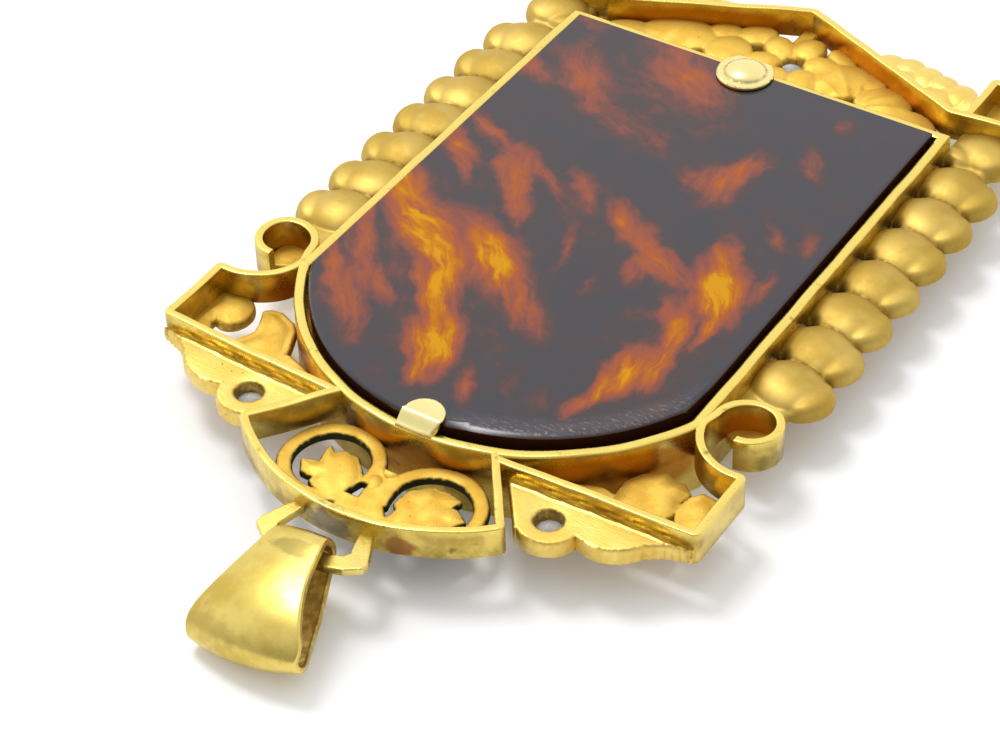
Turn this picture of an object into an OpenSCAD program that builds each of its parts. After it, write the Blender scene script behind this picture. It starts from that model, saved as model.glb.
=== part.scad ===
// Antique openwork pendant, lying on its front with its back upwards.
// X runs across it, Y from the bail end to the pointed far end, Z up out of the back.
// The plan is drawn from the bail end of the bezel's arch, and each piece is centred on Y last.

/* [Bezel] */
// Half width of the bezel, to the middle of its wall
bezel_half_w = 12; // [11.8:0.1:12.2]
// Distance from the plan's zero to the bezel's square far end
bezel_far_y = 34.7; // [34.4:0.1:35]
// Radius of the arch at the bail end
arch_r = 13.2; // [13:0.1:13.4]
// Thickness of the bezel's wall
bezel_wall = 0.6; // [0.5:0.05:0.7]
// Height of the wall tops above the surface that the pendant lies on
wall_top = 4.3; // [4.2:0.1:4.5]
// How far the back plate stands above the wall tops
back_rise = 0.44; // [0.38:0.02:0.5]

/* [Openwork] */
// Thickness of the soldered walls
strip_wall = 0.46; // [0.42:0.02:0.5]
// Depth of the fan cell's walls
fan_depth = 1.75; // [1.65:0.05:1.9]
// Depth of the wing walls and their volutes
wing_depth = 1.9; // [1.8:0.05:2.1]
// Depth of the gable wall
gable_depth = 1.8; // [1.7:0.05:2]
// Thickness of the pierced plates
plate_t = 0.6; // [0.5:0.05:0.7]

/* [Garlands] */
// Domed leaves in each garland
leaf_rows = 7; // [6:1:7]
// Distance from one leaf to the next
leaf_pitch = 3.2; // [3.15:0.05:3.25]

/* [Bail] */
// Thickness of the bail's band
bail_t = 0.38; // [0.34:0.02:0.4]
// Half width of the band where it wraps the staple
bail_narrow = 1.4; // [1.3:0.05:1.45]
// Half width of the band at its outer end
bail_wide = 3.4; // [3.2:0.1:3.5]
// How much lower the domed band is at its outer corners
bail_dome = 0.35; // [0.1:0.05:0.4]
// Turn of the loose bail to one side, in degrees
bail_turn = 1; // [0:1:3]
// Tilt of the loose bail, in degrees
bail_tilt = 9; // [0:1:9]

/* [Hidden] */
$fn = 48;
arc_steps = 12;

gold = [0.85, 0.68, 0.32];
tortoiseshell = [0.2, 0.1, 0.06];
shell = [0.85, 0.7, 0.55];
clear = [0.85, 0.87, 0.9];

// Solids that are soldered together sink into each other by this much
sink = 0.2;
// Space around a piece that sits loose in its seat
gap = 0.08;
// A height that is more than that of the whole pendant
tall = 9;

// The arch's centre lies on the pendant's middle line
arch_y = arch_r - 0.6;
// Levels inside the bezel: front lip, ledge, plaque below the ledge and plate above it
lip = 0.45;
ledge_low = 2.3;
ledge_high = 2.95;
ledge_w = 0.7;
back_top = wall_top + back_rise;
// Holding tabs, each [x, y, radius], with the levels of their undersides and their tops over the plate
near_tab = [0.45, 0.02, 1.12];
far_tab = [-0.08, 33.7, 1.66];
tab_low = back_top + 0.05;
tab_high = tab_low + 0.22;

// The fan's outer wall is an arc about a point on the middle line
fan_y = 3.85;
fan_r = 11.05;
fan_half = 7.65;
fan_root = [4.6, 0.1];
fan_spread = asin(fan_half / fan_r);
fan_corner = [fan_half, fan_y - fan_r * cos(fan_spread)];
// The pair of scroll rings inside the fan
ring = [3.15, -3.1];
ring_outer = 2.75;
ring_inner = 2;
bridge_half = 1.2;
slot_at = [0.75, -5.3];
slot_size = [0.5, 0.65, tall];

// Corners of the wing wall
wing_root = [4.75, -0.2];
wing_tip = [15.85, 0.3];
wing_elbow = [15.85, 4.8];
// Corners of the gable wall and of the ears beside it
gable_foot = [11.2, 37.2];
gable_top = [0, 42.1];
gable_end = [16, 37.6];
ear_x = 12.2;
ear_far = 41;

// Levels of the plates' upper faces
fan_plate_z = wall_top - 1.6;
wing_plate_z = wall_top - 1.8;
wing_leaf_z = wall_top - 0.9;
wing_leaf_t = 0.9;
garland_z = wall_top - 1.2;
gable_plate_z = wall_top - 1.4;
gable_outer_z = wall_top - 1.2;

// Leaves are round plates with a domed back. Columns: x, y, radius, height of the dome
fan_leaves = [
    [2.55, -3.85, 1.5, 0.15],
    [3.5, -2.8, 0.65, 0.1],
    [4.25, -3.85, 0.6, 0.1]
];
wing_leaves = [
    [9.2, 1.5, 1.1, 0.15],
    [11.75, 3, 1.6, 0.2],
    [11.3, 1.6, 1, 0.15],
    [14.35, 3.55, 1.15, 0.2],
    [14.8, 2, 1, 0.15],
    [13.5, 8.5, 1.25, 0.15]
];
gable_leaves = [
    [4.1, 38.3, 1.5, 0.4],
    [6.9, 37.3, 1.5, 0.4],
    [9.3, 36.6, 1.1, 0.25]
];
gable_outer_leaves = [
    [5.9, 40.7, 1.4, 0.3],
    [7.8, 40.5, 1.5, 0.3],
    [10.1, 39.8, 1.6, 0.3]
];

// Leaf plate outside each wing: its scalloped edge and the stone in it
wing_stone = [9, -1.95];
wing_stone_r = 0.95;
wing_scallop = [11.6, 0.2, 2.6];
wing_leaf_edge = [[5.1, 0], [fan_half + 0.1, -3.3], [10, -2], [13.5, -1.35], [15.8, 0.2]];
// Rosette of the gable, round its stone
gable_stone = [0.5, 38.3];
gable_stone_r = 0.75;
petals = 6;
petal_out = 1.75;
petal_r = 1.05;

// Places along the garlands
garland_in = bezel_half_w;
garland_side = 15.1;
first_leaf_y = 13;
pit_r = 0.3;

// The bail's circles in side view, each [y, z, radius]: pivot, shoulder, outer end and belly
pivot_y = -9.75;
pivot_z = wall_top - 1.05;
bail_circles = [
    [pivot_y, pivot_z, 1.15],
    [-12.8, wall_top - 1.9, 1.6],
    [-14.5, wall_top - 2.6, 1.35],
    [-12.3, wall_top - 2.65, 1.3]
];
bail_low = wall_top - 3.95;
bail_reach = -15.85;
// How far the bail has slid along the staple
bail_shift = -0.15;
// Thickness of the staple's flat bar
bar_t = 0.4;

// The middle of the whole object on Y
mid_y = (gable_top[1] + 0.25 + bail_reach) / 2;

// Points of an arc about c from angle a to angle b
function arc(c, r, a, b, n = arc_steps) =
    [for (i = [0:n]) c + r * [cos(a + (b - a) * i / n), sin(a + (b - a) * i / n)]];
// Unit normal on the left of the way from p to q
function left_of(p, q) = [p[1] - q[1], q[0] - p[0]] / norm(q - p);
// Mitre at point i of a path: how its side moves for a wall of unit half thickness
function mitre(path, i) =
    let (last = len(path) - 1,
         before = i == 0 ? left_of(path[0], path[1]) : left_of(path[i - 1], path[i]),
         after = i == last ? left_of(path[last - 1], path[last]) : left_of(path[i], path[i + 1]),
         sum = before + after)
    2 * sum / (sum * sum);
// The outline of a wall of thickness t along a path
function wall_outline(path, t) = concat(
    [for (i = [0:len(path) - 1]) path[i] + mitre(path, i) * t / 2],
    [for (i = [len(path) - 1:-1:0]) path[i] - mitre(path, i) * t / 2]);
function mirrored(path) = [for (i = [len(path) - 1:-1:0]) [-path[i][0], path[i][1]]];
// Angle of the normal of the line that touches two circles [y, z, r] on their outside
function touch(a, b) =
    atan2(b[1] - a[1], b[0] - a[0]) - acos((a[2] - b[2]) / norm([b[0] - a[0], b[1] - a[1]]));

// Plan paths of the soldered walls
fan_path = concat(
    mirrored([fan_root]), arc([0, fan_y], fan_r, 270 - fan_spread, 270 + fan_spread, 18), [fan_root]);
wing_path = concat(
    [wing_root, wing_tip, wing_elbow],
    arc([15.3, 7.9], 3.1, -95, -170, 8),
    arc([14.3, 8.2], 1.8, 180, 90, 6),
    arc([14.3, 8.55], 1.45, 75, -95, 10));
gable_path = concat(mirrored([gable_foot, gable_end]), [gable_top, gable_foot, gable_end]);
ear_path = [[ear_x, 37.4], [ear_x, ear_far], [gable_end[0], ear_far], [gable_end[0], 37.3]];
// Half the staple's outer edge, and its whole inner edge, squarer where the bail hangs lower
staple_outer = [[2.3, -7], [2.8, -8], [3.2, -8.85], [3.15, -9.3], [2.4, -9.85], [1.5, -10.15], [0, -10.25]];
staple_inner = [[-1.65, -6.5], [-1.65, -7.2], [-1.85, -7.9], [-2.12, -8.75], [-2.05, -9.1], [-1.92, -9.3],
                [1.25, -9.27], [1.85, -9], [2.05, -8.68], [1.83, -8.1], [1.65, -7.4], [1.65, -6.5]];
// Half outline of the bail's band seen from above
bail_edge = [[bail_narrow, -8], [bail_narrow, -9], [1.72, -10.4], [2.1, -12], [2.6, -13.4],
             [bail_wide - 0.3, -14.5], [bail_wide, -15.4], [bail_wide, -15.62], [bail_wide - 1, -15.77],
             [bail_wide - 2.2, bail_reach]];

module both_sides() {
    children();
    mirror([1, 0, 0]) children();
}

module wall(path, depth) {
    translate([0, 0, wall_top - depth]) linear_extrude(depth) polygon(wall_outline(path, strip_wall));
}

// A tombstone-shaped block whose outline lies d outside the middle of the bezel's wall
module tombstone(d, low, high) {
    half = bezel_half_w + d;
    intersection() {
        union() {
            translate([0, arch_y, low]) cylinder(h = high - low, r = arch_r + d);
            translate([-half, arch_y, low]) cube([2 * half, bezel_far_y + d - arch_y, high - low]);
        }
        translate([-half, arch_y - arch_r - 1, low]) cube([2 * half, bezel_far_y + arch_r, high - low]);
    }
}

// A dome of radius r and height h on level z; its round block ends just outside it, inside what it stands on
module dome(x, y, z, r, h) {
    ball = (r * r + h * h) / (2 * h);
    intersection() {
        translate([x, y, z + h - ball]) sphere(ball);
        translate([x, y, z - sink]) cylinder(h = h + 2 * sink, r = r + 0.05);
    }
}

// Round leaves from a table, on level z
module leaves(table, z) {
    for (row = table) {
        translate([row[0], row[1], z - plate_t]) cylinder(h = plate_t, r = row[2]);
        dome(row[0], row[1], z, row[2] * 0.9, row[3]);
    }
}

module bezel() {
    inside = -bezel_wall / 2;
    difference() {
        tombstone(bezel_wall / 2, 0, wall_top);
        tombstone(inside - lip, -1, 1);
        tombstone(inside, lip, ledge_low);
        tombstone(inside - ledge_w, 1, wall_top);
        tombstone(inside, ledge_high, tall);
    }
    // Each tab rises from the wall and reaches over the back plate, the near one up a slope
    difference() {
        intersection() {
            union() {
                tab_block(far_tab);
                intersection() {
                    union() {
                        tab_block(near_tab);
                        translate([near_tab[0] - 1.19, -1, wall_top - sink]) cube([2.1, 1.1, 1.5]);
                    }
                    rotate([90, 0, 90]) translate([0, 0, -3]) linear_extrude(6) polygon([
                        [-1, 3], [-1, wall_top + 0.2], [-0.25, tab_high], [2, tab_high], [2, 3]]);
                }
            }
            tombstone(bezel_wall / 2 - 0.1, 0, tall);
        }
        tombstone(inside + 0.06, ledge_high, tab_low);
    }
    dome(far_tab[0], far_tab[1], tab_high, 1.08, 0.42);
}

// The round block that a holding tab is cut from
module tab_block(place) {
    translate([place[0], place[1], wall_top - sink])
        cylinder(h = tab_high - wall_top + sink, r = place[2]);
}

// The cell at the bail end, with its pair of scroll rings
module fan_cell() {
    low = fan_plate_z - plate_t;
    wall(fan_path, fan_depth);
    intersection() {
        translate([0, 0, low]) linear_extrude(fan_depth) polygon(fan_path);
        union() {
            both_sides() {
                difference() {
                    translate([ring[0], ring[1], low]) cylinder(h = plate_t, r = ring_outer);
                    translate([ring[0], ring[1], 0]) cylinder(h = tall, r = ring_inner);
                }
                leaves(fan_leaves, fan_plate_z);
                translate([2.2, -6.9, low]) cube([1.6, 1.6, plate_t]);
            }
            difference() {
                translate([-bridge_half, -7, low]) cube([2 * bridge_half, 4.6, plate_t]);
                both_sides() translate([slot_at[0], slot_at[1], 0]) cube(slot_size);
            }
        }
    }
}

// Leaf plate outside a wing, with the seat of its stone
module wing_leaf() {
    low = wing_leaf_z - wing_leaf_t;
    seat_z = wing_leaf_z - 0.45;
    difference() {
        union() {
            intersection() {
                union() {
                    translate([wing_stone[0], wing_stone[1], low]) cylinder(h = wing_leaf_t, r = 1.7);
                    translate([wing_scallop[0], wing_scallop[1], low])
                        cylinder(h = wing_leaf_t, r = wing_scallop[2]);
                    translate([0, 0, low]) linear_extrude(wing_leaf_t) polygon(wing_leaf_edge);
                }
                linear_extrude(tall) polygon([[4, 0], [4, -6], [17, -6], [17, 0.4]]);
            }
            translate([wing_stone[0], wing_stone[1], 2]) cylinder(h = 0.8, r = wing_stone_r + 0.4);
        }
        translate([wing_stone[0], wing_stone[1], -1]) cylinder(h = tall, r = wing_stone_r - 0.2);
        translate([wing_stone[0], wing_stone[1], -1]) cylinder(h = 1 + seat_z, r = wing_stone_r + gap);
    }
}

module wing() {
    wall(wing_path, wing_depth);
    translate([7.6, 0.2, wing_plate_z - plate_t]) cube([8.1, 0.9, plate_t]);
    leaves(wing_leaves, wing_plate_z);
    wing_leaf();
}

// A garland: a scalloped plate with a row of double leaves
module garland() {
    low = garland_z - plate_t;
    difference() {
        union() {
            translate([garland_in, 9.9, low]) cube([garland_side - garland_in, 27.6, plate_t]);
            for (i = [0:leaf_rows - 1])
                translate([14.95, first_leaf_y + i * leaf_pitch, low]) cylinder(h = plate_t, r = 1.63);
            translate([garland_in, 34.2, low]) cube([3.9, 3.3, plate_t]);
        }
        for (i = [0:leaf_rows])
            translate([12.7, first_leaf_y + (i - 0.5) * leaf_pitch, 0]) cylinder(h = tall, r = pit_r);
    }
    for (i = [0:leaf_rows - 1]) {
        dome(14, first_leaf_y + i * leaf_pitch, garland_z, 1.5, 0.75);
        dome(15.35, first_leaf_y + i * leaf_pitch, garland_z, 1.1, 0.42);
    }
}

// The stone's rosette in the middle of the gable
module rosette() {
    low = gable_plate_z - plate_t;
    round_stone = [for (i = [0:petals - 1]) let (a = 20 + 360 * i / petals)
        [gable_stone[0] + petal_out * cos(a), gable_stone[1] + petal_out * sin(a), petal_r, 0.35]];
    difference() {
        union() {
            leaves(round_stone, gable_plate_z);
            translate([gable_stone[0], gable_stone[1], low]) cylinder(h = plate_t, r = 1.6);
            translate([-0.6, bezel_far_y, low]) cube([1.8, 2, plate_t]);
            translate([-0.5, 40, low]) cube([1.2, 2, plate_t]);
        }
        translate([gable_stone[0], gable_stone[1], -1]) cylinder(h = tall, r = gable_stone_r - 0.2);
        translate([gable_stone[0], gable_stone[1], -1])
            cylinder(h = 1 + gable_plate_z - 0.3, r = gable_stone_r + gap);
    }
}

// The far end: the gable wall, the ears and their leaves
module gable() {
    low = gable_plate_z - plate_t;
    wall(gable_path, gable_depth);
    both_sides() {
        wall(ear_path, gable_depth);
        translate([ear_x, 37.4, low]) cube([gable_end[0] - ear_x, ear_far - 37.4, plate_t]);
        intersection() {
            union() {
                leaves(gable_outer_leaves, gable_outer_z);
                translate([0, 0, gable_outer_z - plate_t]) linear_extrude(plate_t)
                    polygon([[4.4, 40.1], [6, 41], [10, 40.5], [ear_x, 39.5], [ear_x, 37.4], gable_foot]);
            }
            linear_extrude(tall) polygon([[3, 40.8], [3, 45], [ear_x, 45], [ear_x, 37.4], gable_foot]);
        }
        translate([2, bezel_far_y, low]) cube([10, 2.3, plate_t]);
        leaves(gable_leaves, gable_plate_z);
    }
    rosette();
}

// The flat angular loop that carries the bail
module staple() {
    translate([0, 0, pivot_z - bar_t / 2]) linear_extrude(bar_t) difference() {
        polygon(concat(staple_outer, mirrored(staple_outer)));
        polygon(staple_inner);
    }
}

module frame() {
    color(gold) translate([0, -mid_y, 0]) {
        bezel();
        difference() {
            union() {
                fan_cell();
                both_sides() {
                    wing();
                    garland();
                }
                gable();
            }
            // The openwork stops inside the bezel's wall
            tombstone(bezel_wall / 2 - 0.1, -1, tall);
        }
        staple();
    }
}

module back_plate() {
    color(tortoiseshell) translate([0, -mid_y, 0])
        tombstone(-bezel_wall / 2 - 0.18, ledge_high + 0.02, back_top);
}

module cameo_panel() {
    color(shell) translate([0, -mid_y, 0]) {
        tombstone(-bezel_wall / 2 - gap, lip + 0.03, ledge_low - 0.02);
        tombstone(-bezel_wall / 2 - lip - gap, 0.1, ledge_low - 0.5);
    }
}

// A cut stone with its table down: table and crown, girdle, then pavilion up to the level top
module stone(place, r, top) {
    crown = 0.42 * r;
    girdle = 0.1 * r;
    pavilion = 0.58 * r;
    color(clear) translate([place[0], place[1] - mid_y, top - pavilion]) {
        cylinder(h = pavilion, r1 = r, r2 = 0.04 * r, $fn = 12);
        translate([0, 0, -girdle]) cylinder(h = girdle, r = r, $fn = 12);
        translate([0, 0, -girdle - crown]) cylinder(h = crown, r1 = 0.6 * r, r2 = r, $fn = 12);
    }
}

module stone_left() {
    stone([-wing_stone[0], wing_stone[1]], wing_stone_r, wing_leaf_z - 0.12);
}

module stone_right() {
    stone(wing_stone, wing_stone_r, wing_leaf_z - 0.12);
}

module stone_gable() {
    stone(gable_stone, gable_stone_r, gable_plate_z - 0.05);
}

// The side view of the bail's band, grown by g: round each of its circles in turn
function bail_side(g) =
    let (n = len(bail_circles), ways = [for (i = [0:n - 1]) touch(bail_circles[i], bail_circles[(i + 1) % n])])
    [for (i = [0:n - 1])
        let (c = bail_circles[i], from = ways[(i + n - 1) % n], turn = (ways[i] - from + 720) % 360)
        for (k = [0:arc_steps]) let (a = from + turn * k / arc_steps)
            [c[0], c[1]] + (c[2] + g) * [cos(a), sin(a)]];

// The bail's domed section seen from its outer end, open on the side away from the dome
function bail_section(side) = concat(
    [[-1.5 * bail_wide, -side * tall], [1.5 * bail_wide, -side * tall]],
    [for (k = [6:-1:-6]) let (x = k * bail_wide / 4) [x, -side * bail_dome * pow(x / bail_wide, 2)]]);

// The block that the bail is cut from, grown by g: its side view, domed across above and below
module bail_block(g) {
    reach = 3 * bail_wide;
    slope = touch(bail_circles[0], bail_circles[1]) - 90;
    intersection() {
        rotate([90, 0, 90]) translate([0, 0, -reach / 2]) linear_extrude(reach) polygon(bail_side(g));
        translate([0, pivot_y, pivot_z]) rotate([90 + slope, 0, 0])
            translate([0, bail_circles[0][2] + g, -tall]) linear_extrude(3 * tall) polygon(bail_section(1));
        translate([0, pivot_y, bail_low - g]) rotate([90, 0, 0])
            translate([0, 0, -tall]) linear_extrude(3 * tall) polygon(bail_section(-1));
    }
}

module bail() {
    color(gold) translate([0, pivot_y - mid_y, pivot_z]) rotate([0, -bail_tilt, bail_turn])
        translate([bail_shift, -pivot_y, -pivot_z]) intersection() {
            difference() {
                bail_block(0);
                bail_block(-bail_t);
            }
            translate([0, 0, -1]) linear_extrude(tall) polygon(concat(bail_edge, mirrored(bail_edge)));
        }
}

frame();
back_plate();
cameo_panel();
stone_left();
stone_right();
stone_gable();
bail();
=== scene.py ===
import math

import bpy
import numpy as np
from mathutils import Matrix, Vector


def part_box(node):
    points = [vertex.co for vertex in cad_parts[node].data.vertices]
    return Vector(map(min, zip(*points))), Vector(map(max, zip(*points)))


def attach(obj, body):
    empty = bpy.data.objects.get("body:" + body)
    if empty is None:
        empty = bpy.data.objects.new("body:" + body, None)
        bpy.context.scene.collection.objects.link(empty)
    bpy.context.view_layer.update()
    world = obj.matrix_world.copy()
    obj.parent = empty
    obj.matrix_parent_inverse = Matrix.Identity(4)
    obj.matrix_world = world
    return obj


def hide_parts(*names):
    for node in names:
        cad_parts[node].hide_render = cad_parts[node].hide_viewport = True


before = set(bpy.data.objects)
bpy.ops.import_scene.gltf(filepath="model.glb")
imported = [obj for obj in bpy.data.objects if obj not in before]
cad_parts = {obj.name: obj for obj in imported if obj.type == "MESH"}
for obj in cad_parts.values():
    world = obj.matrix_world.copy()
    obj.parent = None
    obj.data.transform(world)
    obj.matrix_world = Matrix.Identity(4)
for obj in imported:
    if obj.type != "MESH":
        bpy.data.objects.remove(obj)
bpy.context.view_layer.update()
print("frame loaded")


# Camera at the photo's angle
camera = {
    "place": (0.061965, -0.097249, 0.09885),  # metres
    "turn": (48.644, 1.442, 32.813),  # degrees
    "lens": 101.73,  # mm
    "sensor": 36,  # mm
    "clipStart": 0.01,  # metres
}


def addObject(name, data):
    item = bpy.data.objects.new(name, data)
    bpy.context.scene.collection.objects.link(item)
    return item


def placeCamera():
    data = bpy.data.cameras.new("camera")
    data.lens, data.sensor_width, data.clip_start = camera["lens"], camera["sensor"], camera["clipStart"]
    item = addObject("camera", data)
    item.location = camera["place"]
    item.rotation_euler = [math.radians(angle) for angle in camera["turn"]]
    bpy.context.scene.camera = item


placeCamera()
bpy.context.scene.view_settings.view_transform = "Standard"
print("camera placed")


# Shader helpers: addNode adds one node to a tree, and the others give back the output of what they add
def addNode(tree, kind, inputs=None, **settings):
    item = tree.nodes.new(kind)
    for name, value in settings.items():
        setattr(item, name, value)
    for name, value in (inputs or {}).items():
        socket = item.inputs[name]
        if isinstance(value, bpy.types.NodeSocket):
            tree.links.new(value, socket)
        else:
            socket.default_value = value
    return item


def calc(tree, operation, first, second, third=0.0, clamp=False):
    inputs = {0: first, 1: second, 2: third}
    return addNode(tree, "ShaderNodeMath", inputs, operation=operation, use_clamp=clamp).outputs[0]


def vectorCalc(tree, operation, first, second):
    item = addNode(tree, "ShaderNodeVectorMath", {0: first, 1: second}, operation=operation)
    return item.outputs["Value" if operation == "DOT_PRODUCT" else "Vector"]


def noise(tree, place, scale, detail, roughness=0.5, output="Fac"):
    inputs = {"Vector": place, "Scale": scale, "Detail": detail, "Roughness": roughness}
    return addNode(tree, "ShaderNodeTexNoise", inputs).outputs[output]


def spread(tree, value, low, high, lowOut=0.0, highOut=1.0):
    inputs = {"Value": value, "From Min": low, "From Max": high, "To Min": lowOut, "To Max": highOut}
    return addNode(tree, "ShaderNodeMapRange", inputs, interpolation_type="SMOOTHSTEP").outputs["Result"]


def blend(tree, amount, first, second):
    inputs = {0: amount, 6: first, 7: second}
    return addNode(tree, "ShaderNodeMix", inputs, data_type="RGBA").outputs[2]


# One of the marks that a piece's points carry
def marked(tree, mark):
    return addNode(tree, "ShaderNodeAttribute", attribute_name=mark).outputs["Fac"]


# Links outputs to a shader's or a group's sockets by name
def feed(tree, sockets, values):
    for name, value in values.items():
        tree.links.new(value, sockets[name])


# A shader node group with named inputs and outputs
def newGroup(name, inputs, outputs):
    group = bpy.data.node_groups.new(name, "ShaderNodeTree")
    for label, (kind, value) in inputs.items():
        socket = group.interface.new_socket(name=label, in_out="INPUT", socket_type="NodeSocket" + kind)
        socket.default_value = value
    for label, kind in outputs.items():
        group.interface.new_socket(name=label, in_out="OUTPUT", socket_type="NodeSocket" + kind)
    return group, group.nodes.new("NodeGroupInput").outputs, group.nodes.new("NodeGroupOutput").inputs


# Object coordinates in millimetres
def placeInMm(tree):
    place = addNode(tree, "ShaderNodeTexCoord").outputs["Object"]
    scaled = addNode(tree, "ShaderNodeVectorMath", {0: place, "Scale": 1000.0}, operation="SCALE")
    return scaled.outputs["Vector"]


def newMaterial(name, **values):
    material = bpy.data.materials.new(name)
    material.use_nodes = True
    shader = material.node_tree.nodes["Principled BSDF"]
    for label, value in values.items():
        shader.inputs[label.replace("_", " ")].default_value = value
    return material, material.node_tree, shader.inputs


# Studio: a pale floor, a soft sky that is darker on the camera's side, and one window high on the left
studio = {
    "floorSize": 1.2,
    "floorColour": (0.93, 0.93, 0.935, 1),
    "glowColour": (0.93, 0.96, 1.0, 1),
    "floorGlow": 0.08,
    "skyTop": 1.0,
    "skyFar": 1.1,
    "skyNear": 0.45,
    "farWay": (-0.5, 0.75, 0.3),
    "window": {"towards": (-0.4, 0.1, 0.91), "distance": 0.5, "size": (0.13, 0.18), "power": 0.95},
}


# The strength grows as a direction leans to the far side, and near the top it becomes the top's
def makeSky():
    world = bpy.data.worlds.new("studio")
    world.use_nodes = True
    bpy.context.scene.world = world
    tree = world.node_tree
    tree.nodes.clear()
    way = addNode(tree, "ShaderNodeTexCoord").outputs["Generated"]
    far = spread(tree, vectorCalc(tree, "DOT_PRODUCT", way, studio["farWay"]), -0.75, 0.35,
                 studio["skyNear"], studio["skyFar"])
    up = spread(tree, vectorCalc(tree, "DOT_PRODUCT", way, (0.0, 0.0, 1.0)), 0.6, 1.0)
    strength = calc(tree, "MULTIPLY_ADD", up, studio["skyTop"] - studio["skyFar"], far)
    light = addNode(tree, "ShaderNodeBackground", {"Color": (1.0, 1.0, 1.0, 1), "Strength": strength})
    addNode(tree, "ShaderNodeOutputWorld", {"Surface": light.outputs[0]})


def makeWindow():
    window = studio["window"]
    data = bpy.data.lights.new("window", "AREA")
    data.shape = "RECTANGLE"
    data.size, data.size_y = window["size"]
    data.energy = window["power"]
    item = addObject("window", data)
    towards = np.array(window["towards"]) / np.linalg.norm(window["towards"])
    item.location = towards * window["distance"]
    item.rotation_euler = (math.acos(towards[2]), 0, math.atan2(towards[1], towards[0]) + math.pi / 2)


def makeFloor():
    half = studio["floorSize"] / 2
    mesh = bpy.data.meshes.new("floor")
    corners = [(-half, -half, 0), (half, -half, 0), (half, half, 0), (-half, half, 0)]
    mesh.from_pydata(corners, [], [(0, 1, 2, 3)])
    material = newMaterial("floor", Base_Color=studio["floorColour"], Roughness=0.9, Specular_IOR_Level=0.1,
                           Emission_Color=studio["glowColour"], Emission_Strength=studio["floorGlow"])[0]
    mesh.materials.append(material)
    addObject("floor", mesh)


makeSky()
makeWindow()
makeFloor()
print("studio made")


# Finish of all the gold: colour from clean to deep in soft clouds, a dark colour where the shade-and-grime
# mark is, which is painted shade with some ragged dirt, and in the pits, and a height of brushed lines,
# clouds and pits. Grain stretches the brushed lines.
def makeGoldFinish():
    inputs = {
        "Place": ("Vector", (0, 0, 0)), "Wear": ("Float", 0.0), "ShadeAndGrime": ("Float", 0.0),
        "Bright": ("Color", (0.8, 0.6, 0.15, 1)), "Deep": ("Color", (0.7, 0.45, 0.08, 1)),
        "ShadeAndDirt": ("Color", (0.1, 0.07, 0.02, 1)), "Satin": ("Float", 0.3), "Clouds": ("Float", 0.8),
        "Grain": ("Vector", (2, 16, 16)), "Brush": ("Float", 0.5), "Pits": ("Float", 0.5),
    }
    outputs = {"Colour": "Color", "Roughness": "Float", "Height": "Float"}
    tree, given, result = newGroup("goldFinish", inputs, outputs)
    place = given["Place"]
    clouds = noise(tree, place, given["Clouds"], 5, 0.55)
    fine = noise(tree, place, 11, 2)
    brushed = vectorCalc(tree, "MULTIPLY", place, given["Grain"])
    lines = noise(tree, brushed, 1, 3, 0.6)
    cells = addNode(tree, "ShaderNodeTexVoronoi", {"Vector": place, "Scale": 1.7}).outputs["Distance"]
    pitPlaces = calc(tree, "MULTIPLY", spread(tree, cells, 0.11, 0.05), spread(tree, clouds, 0.5, 0.56))
    pits = calc(tree, "MULTIPLY", pitPlaces, given["Pits"], clamp=True)

    worn = calc(tree, "SUBTRACT", 1.0, given["Wear"], clamp=True)
    deep = calc(tree, "MULTIPLY", spread(tree, clouds, 0.36, 0.66, 0.3, 1.0), worn)
    colour = blend(tree, deep, given["Bright"], given["Deep"])
    patches = spread(tree, noise(tree, place, 3, 4), 0.25, 0.65, 0.3, 1.5)
    # Painted shade with some dirt: the mark, torn into patches, and the pits darken the colour
    ragged = calc(tree, "MULTIPLY", given["ShadeAndGrime"], patches)
    shadeAndDirt = calc(tree, "ADD", ragged, calc(tree, "MULTIPLY", pits, 0.8), clamp=True)
    colour = blend(tree, shadeAndDirt, colour, given["ShadeAndDirt"])

    rough = calc(tree, "MULTIPLY_ADD", shadeAndDirt, 0.3, given["Satin"])
    rough = calc(tree, "MULTIPLY_ADD", spread(tree, clouds, 0.3, 0.7, -0.06, 0.06), 1.0, rough)
    rough = calc(tree, "MULTIPLY_ADD", given["Wear"], -0.05, rough)
    rough = calc(tree, "MULTIPLY_ADD", spread(tree, lines, 0.3, 0.7, -0.05, 0.05), given["Brush"], rough)

    height = calc(tree, "MULTIPLY", lines, given["Brush"])
    height = calc(tree, "MULTIPLY_ADD", clouds, 0.6, height)
    height = calc(tree, "MULTIPLY_ADD", fine, 0.25, height)
    height = calc(tree, "SUBTRACT", height, pits)
    feed(tree, result, {"Colour": colour, "Roughness": rough, "Height": height})
    return tree


# A soft oval spot: 1 at its centre and 0 at its edge
def makeSpot():
    inputs = {"Place": ("Vector", (0, 0, 0)), "Centre": ("Vector", (0, 0, 0)),
              "Turn": ("Vector", (0, 0, 0)), "Size": ("Vector", (1, 1, 1))}
    tree, given, result = newGroup("spot", inputs, {"Mask": "Float"})
    mapped = addNode(tree, "ShaderNodeMapping", {
        "Vector": given["Place"], "Location": given["Centre"], "Rotation": given["Turn"],
        "Scale": given["Size"],
    }, vector_type="TEXTURE")
    ball = addNode(tree, "ShaderNodeTexGradient", {"Vector": mapped.outputs[0]}, gradient_type="SPHERICAL")
    feed(tree, result, {"Mask": ball.outputs["Fac"]})
    return tree


goldFinish = makeGoldFinish()
spot = makeSpot()


def spotMask(tree, place, centre, size, turn=0.0):
    inputs = {"Place": place, "Centre": centre, "Turn": (0, 0, turn), "Size": size}
    return addNode(tree, "ShaderNodeGroup", inputs, node_tree=spot).outputs["Mask"]


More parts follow.
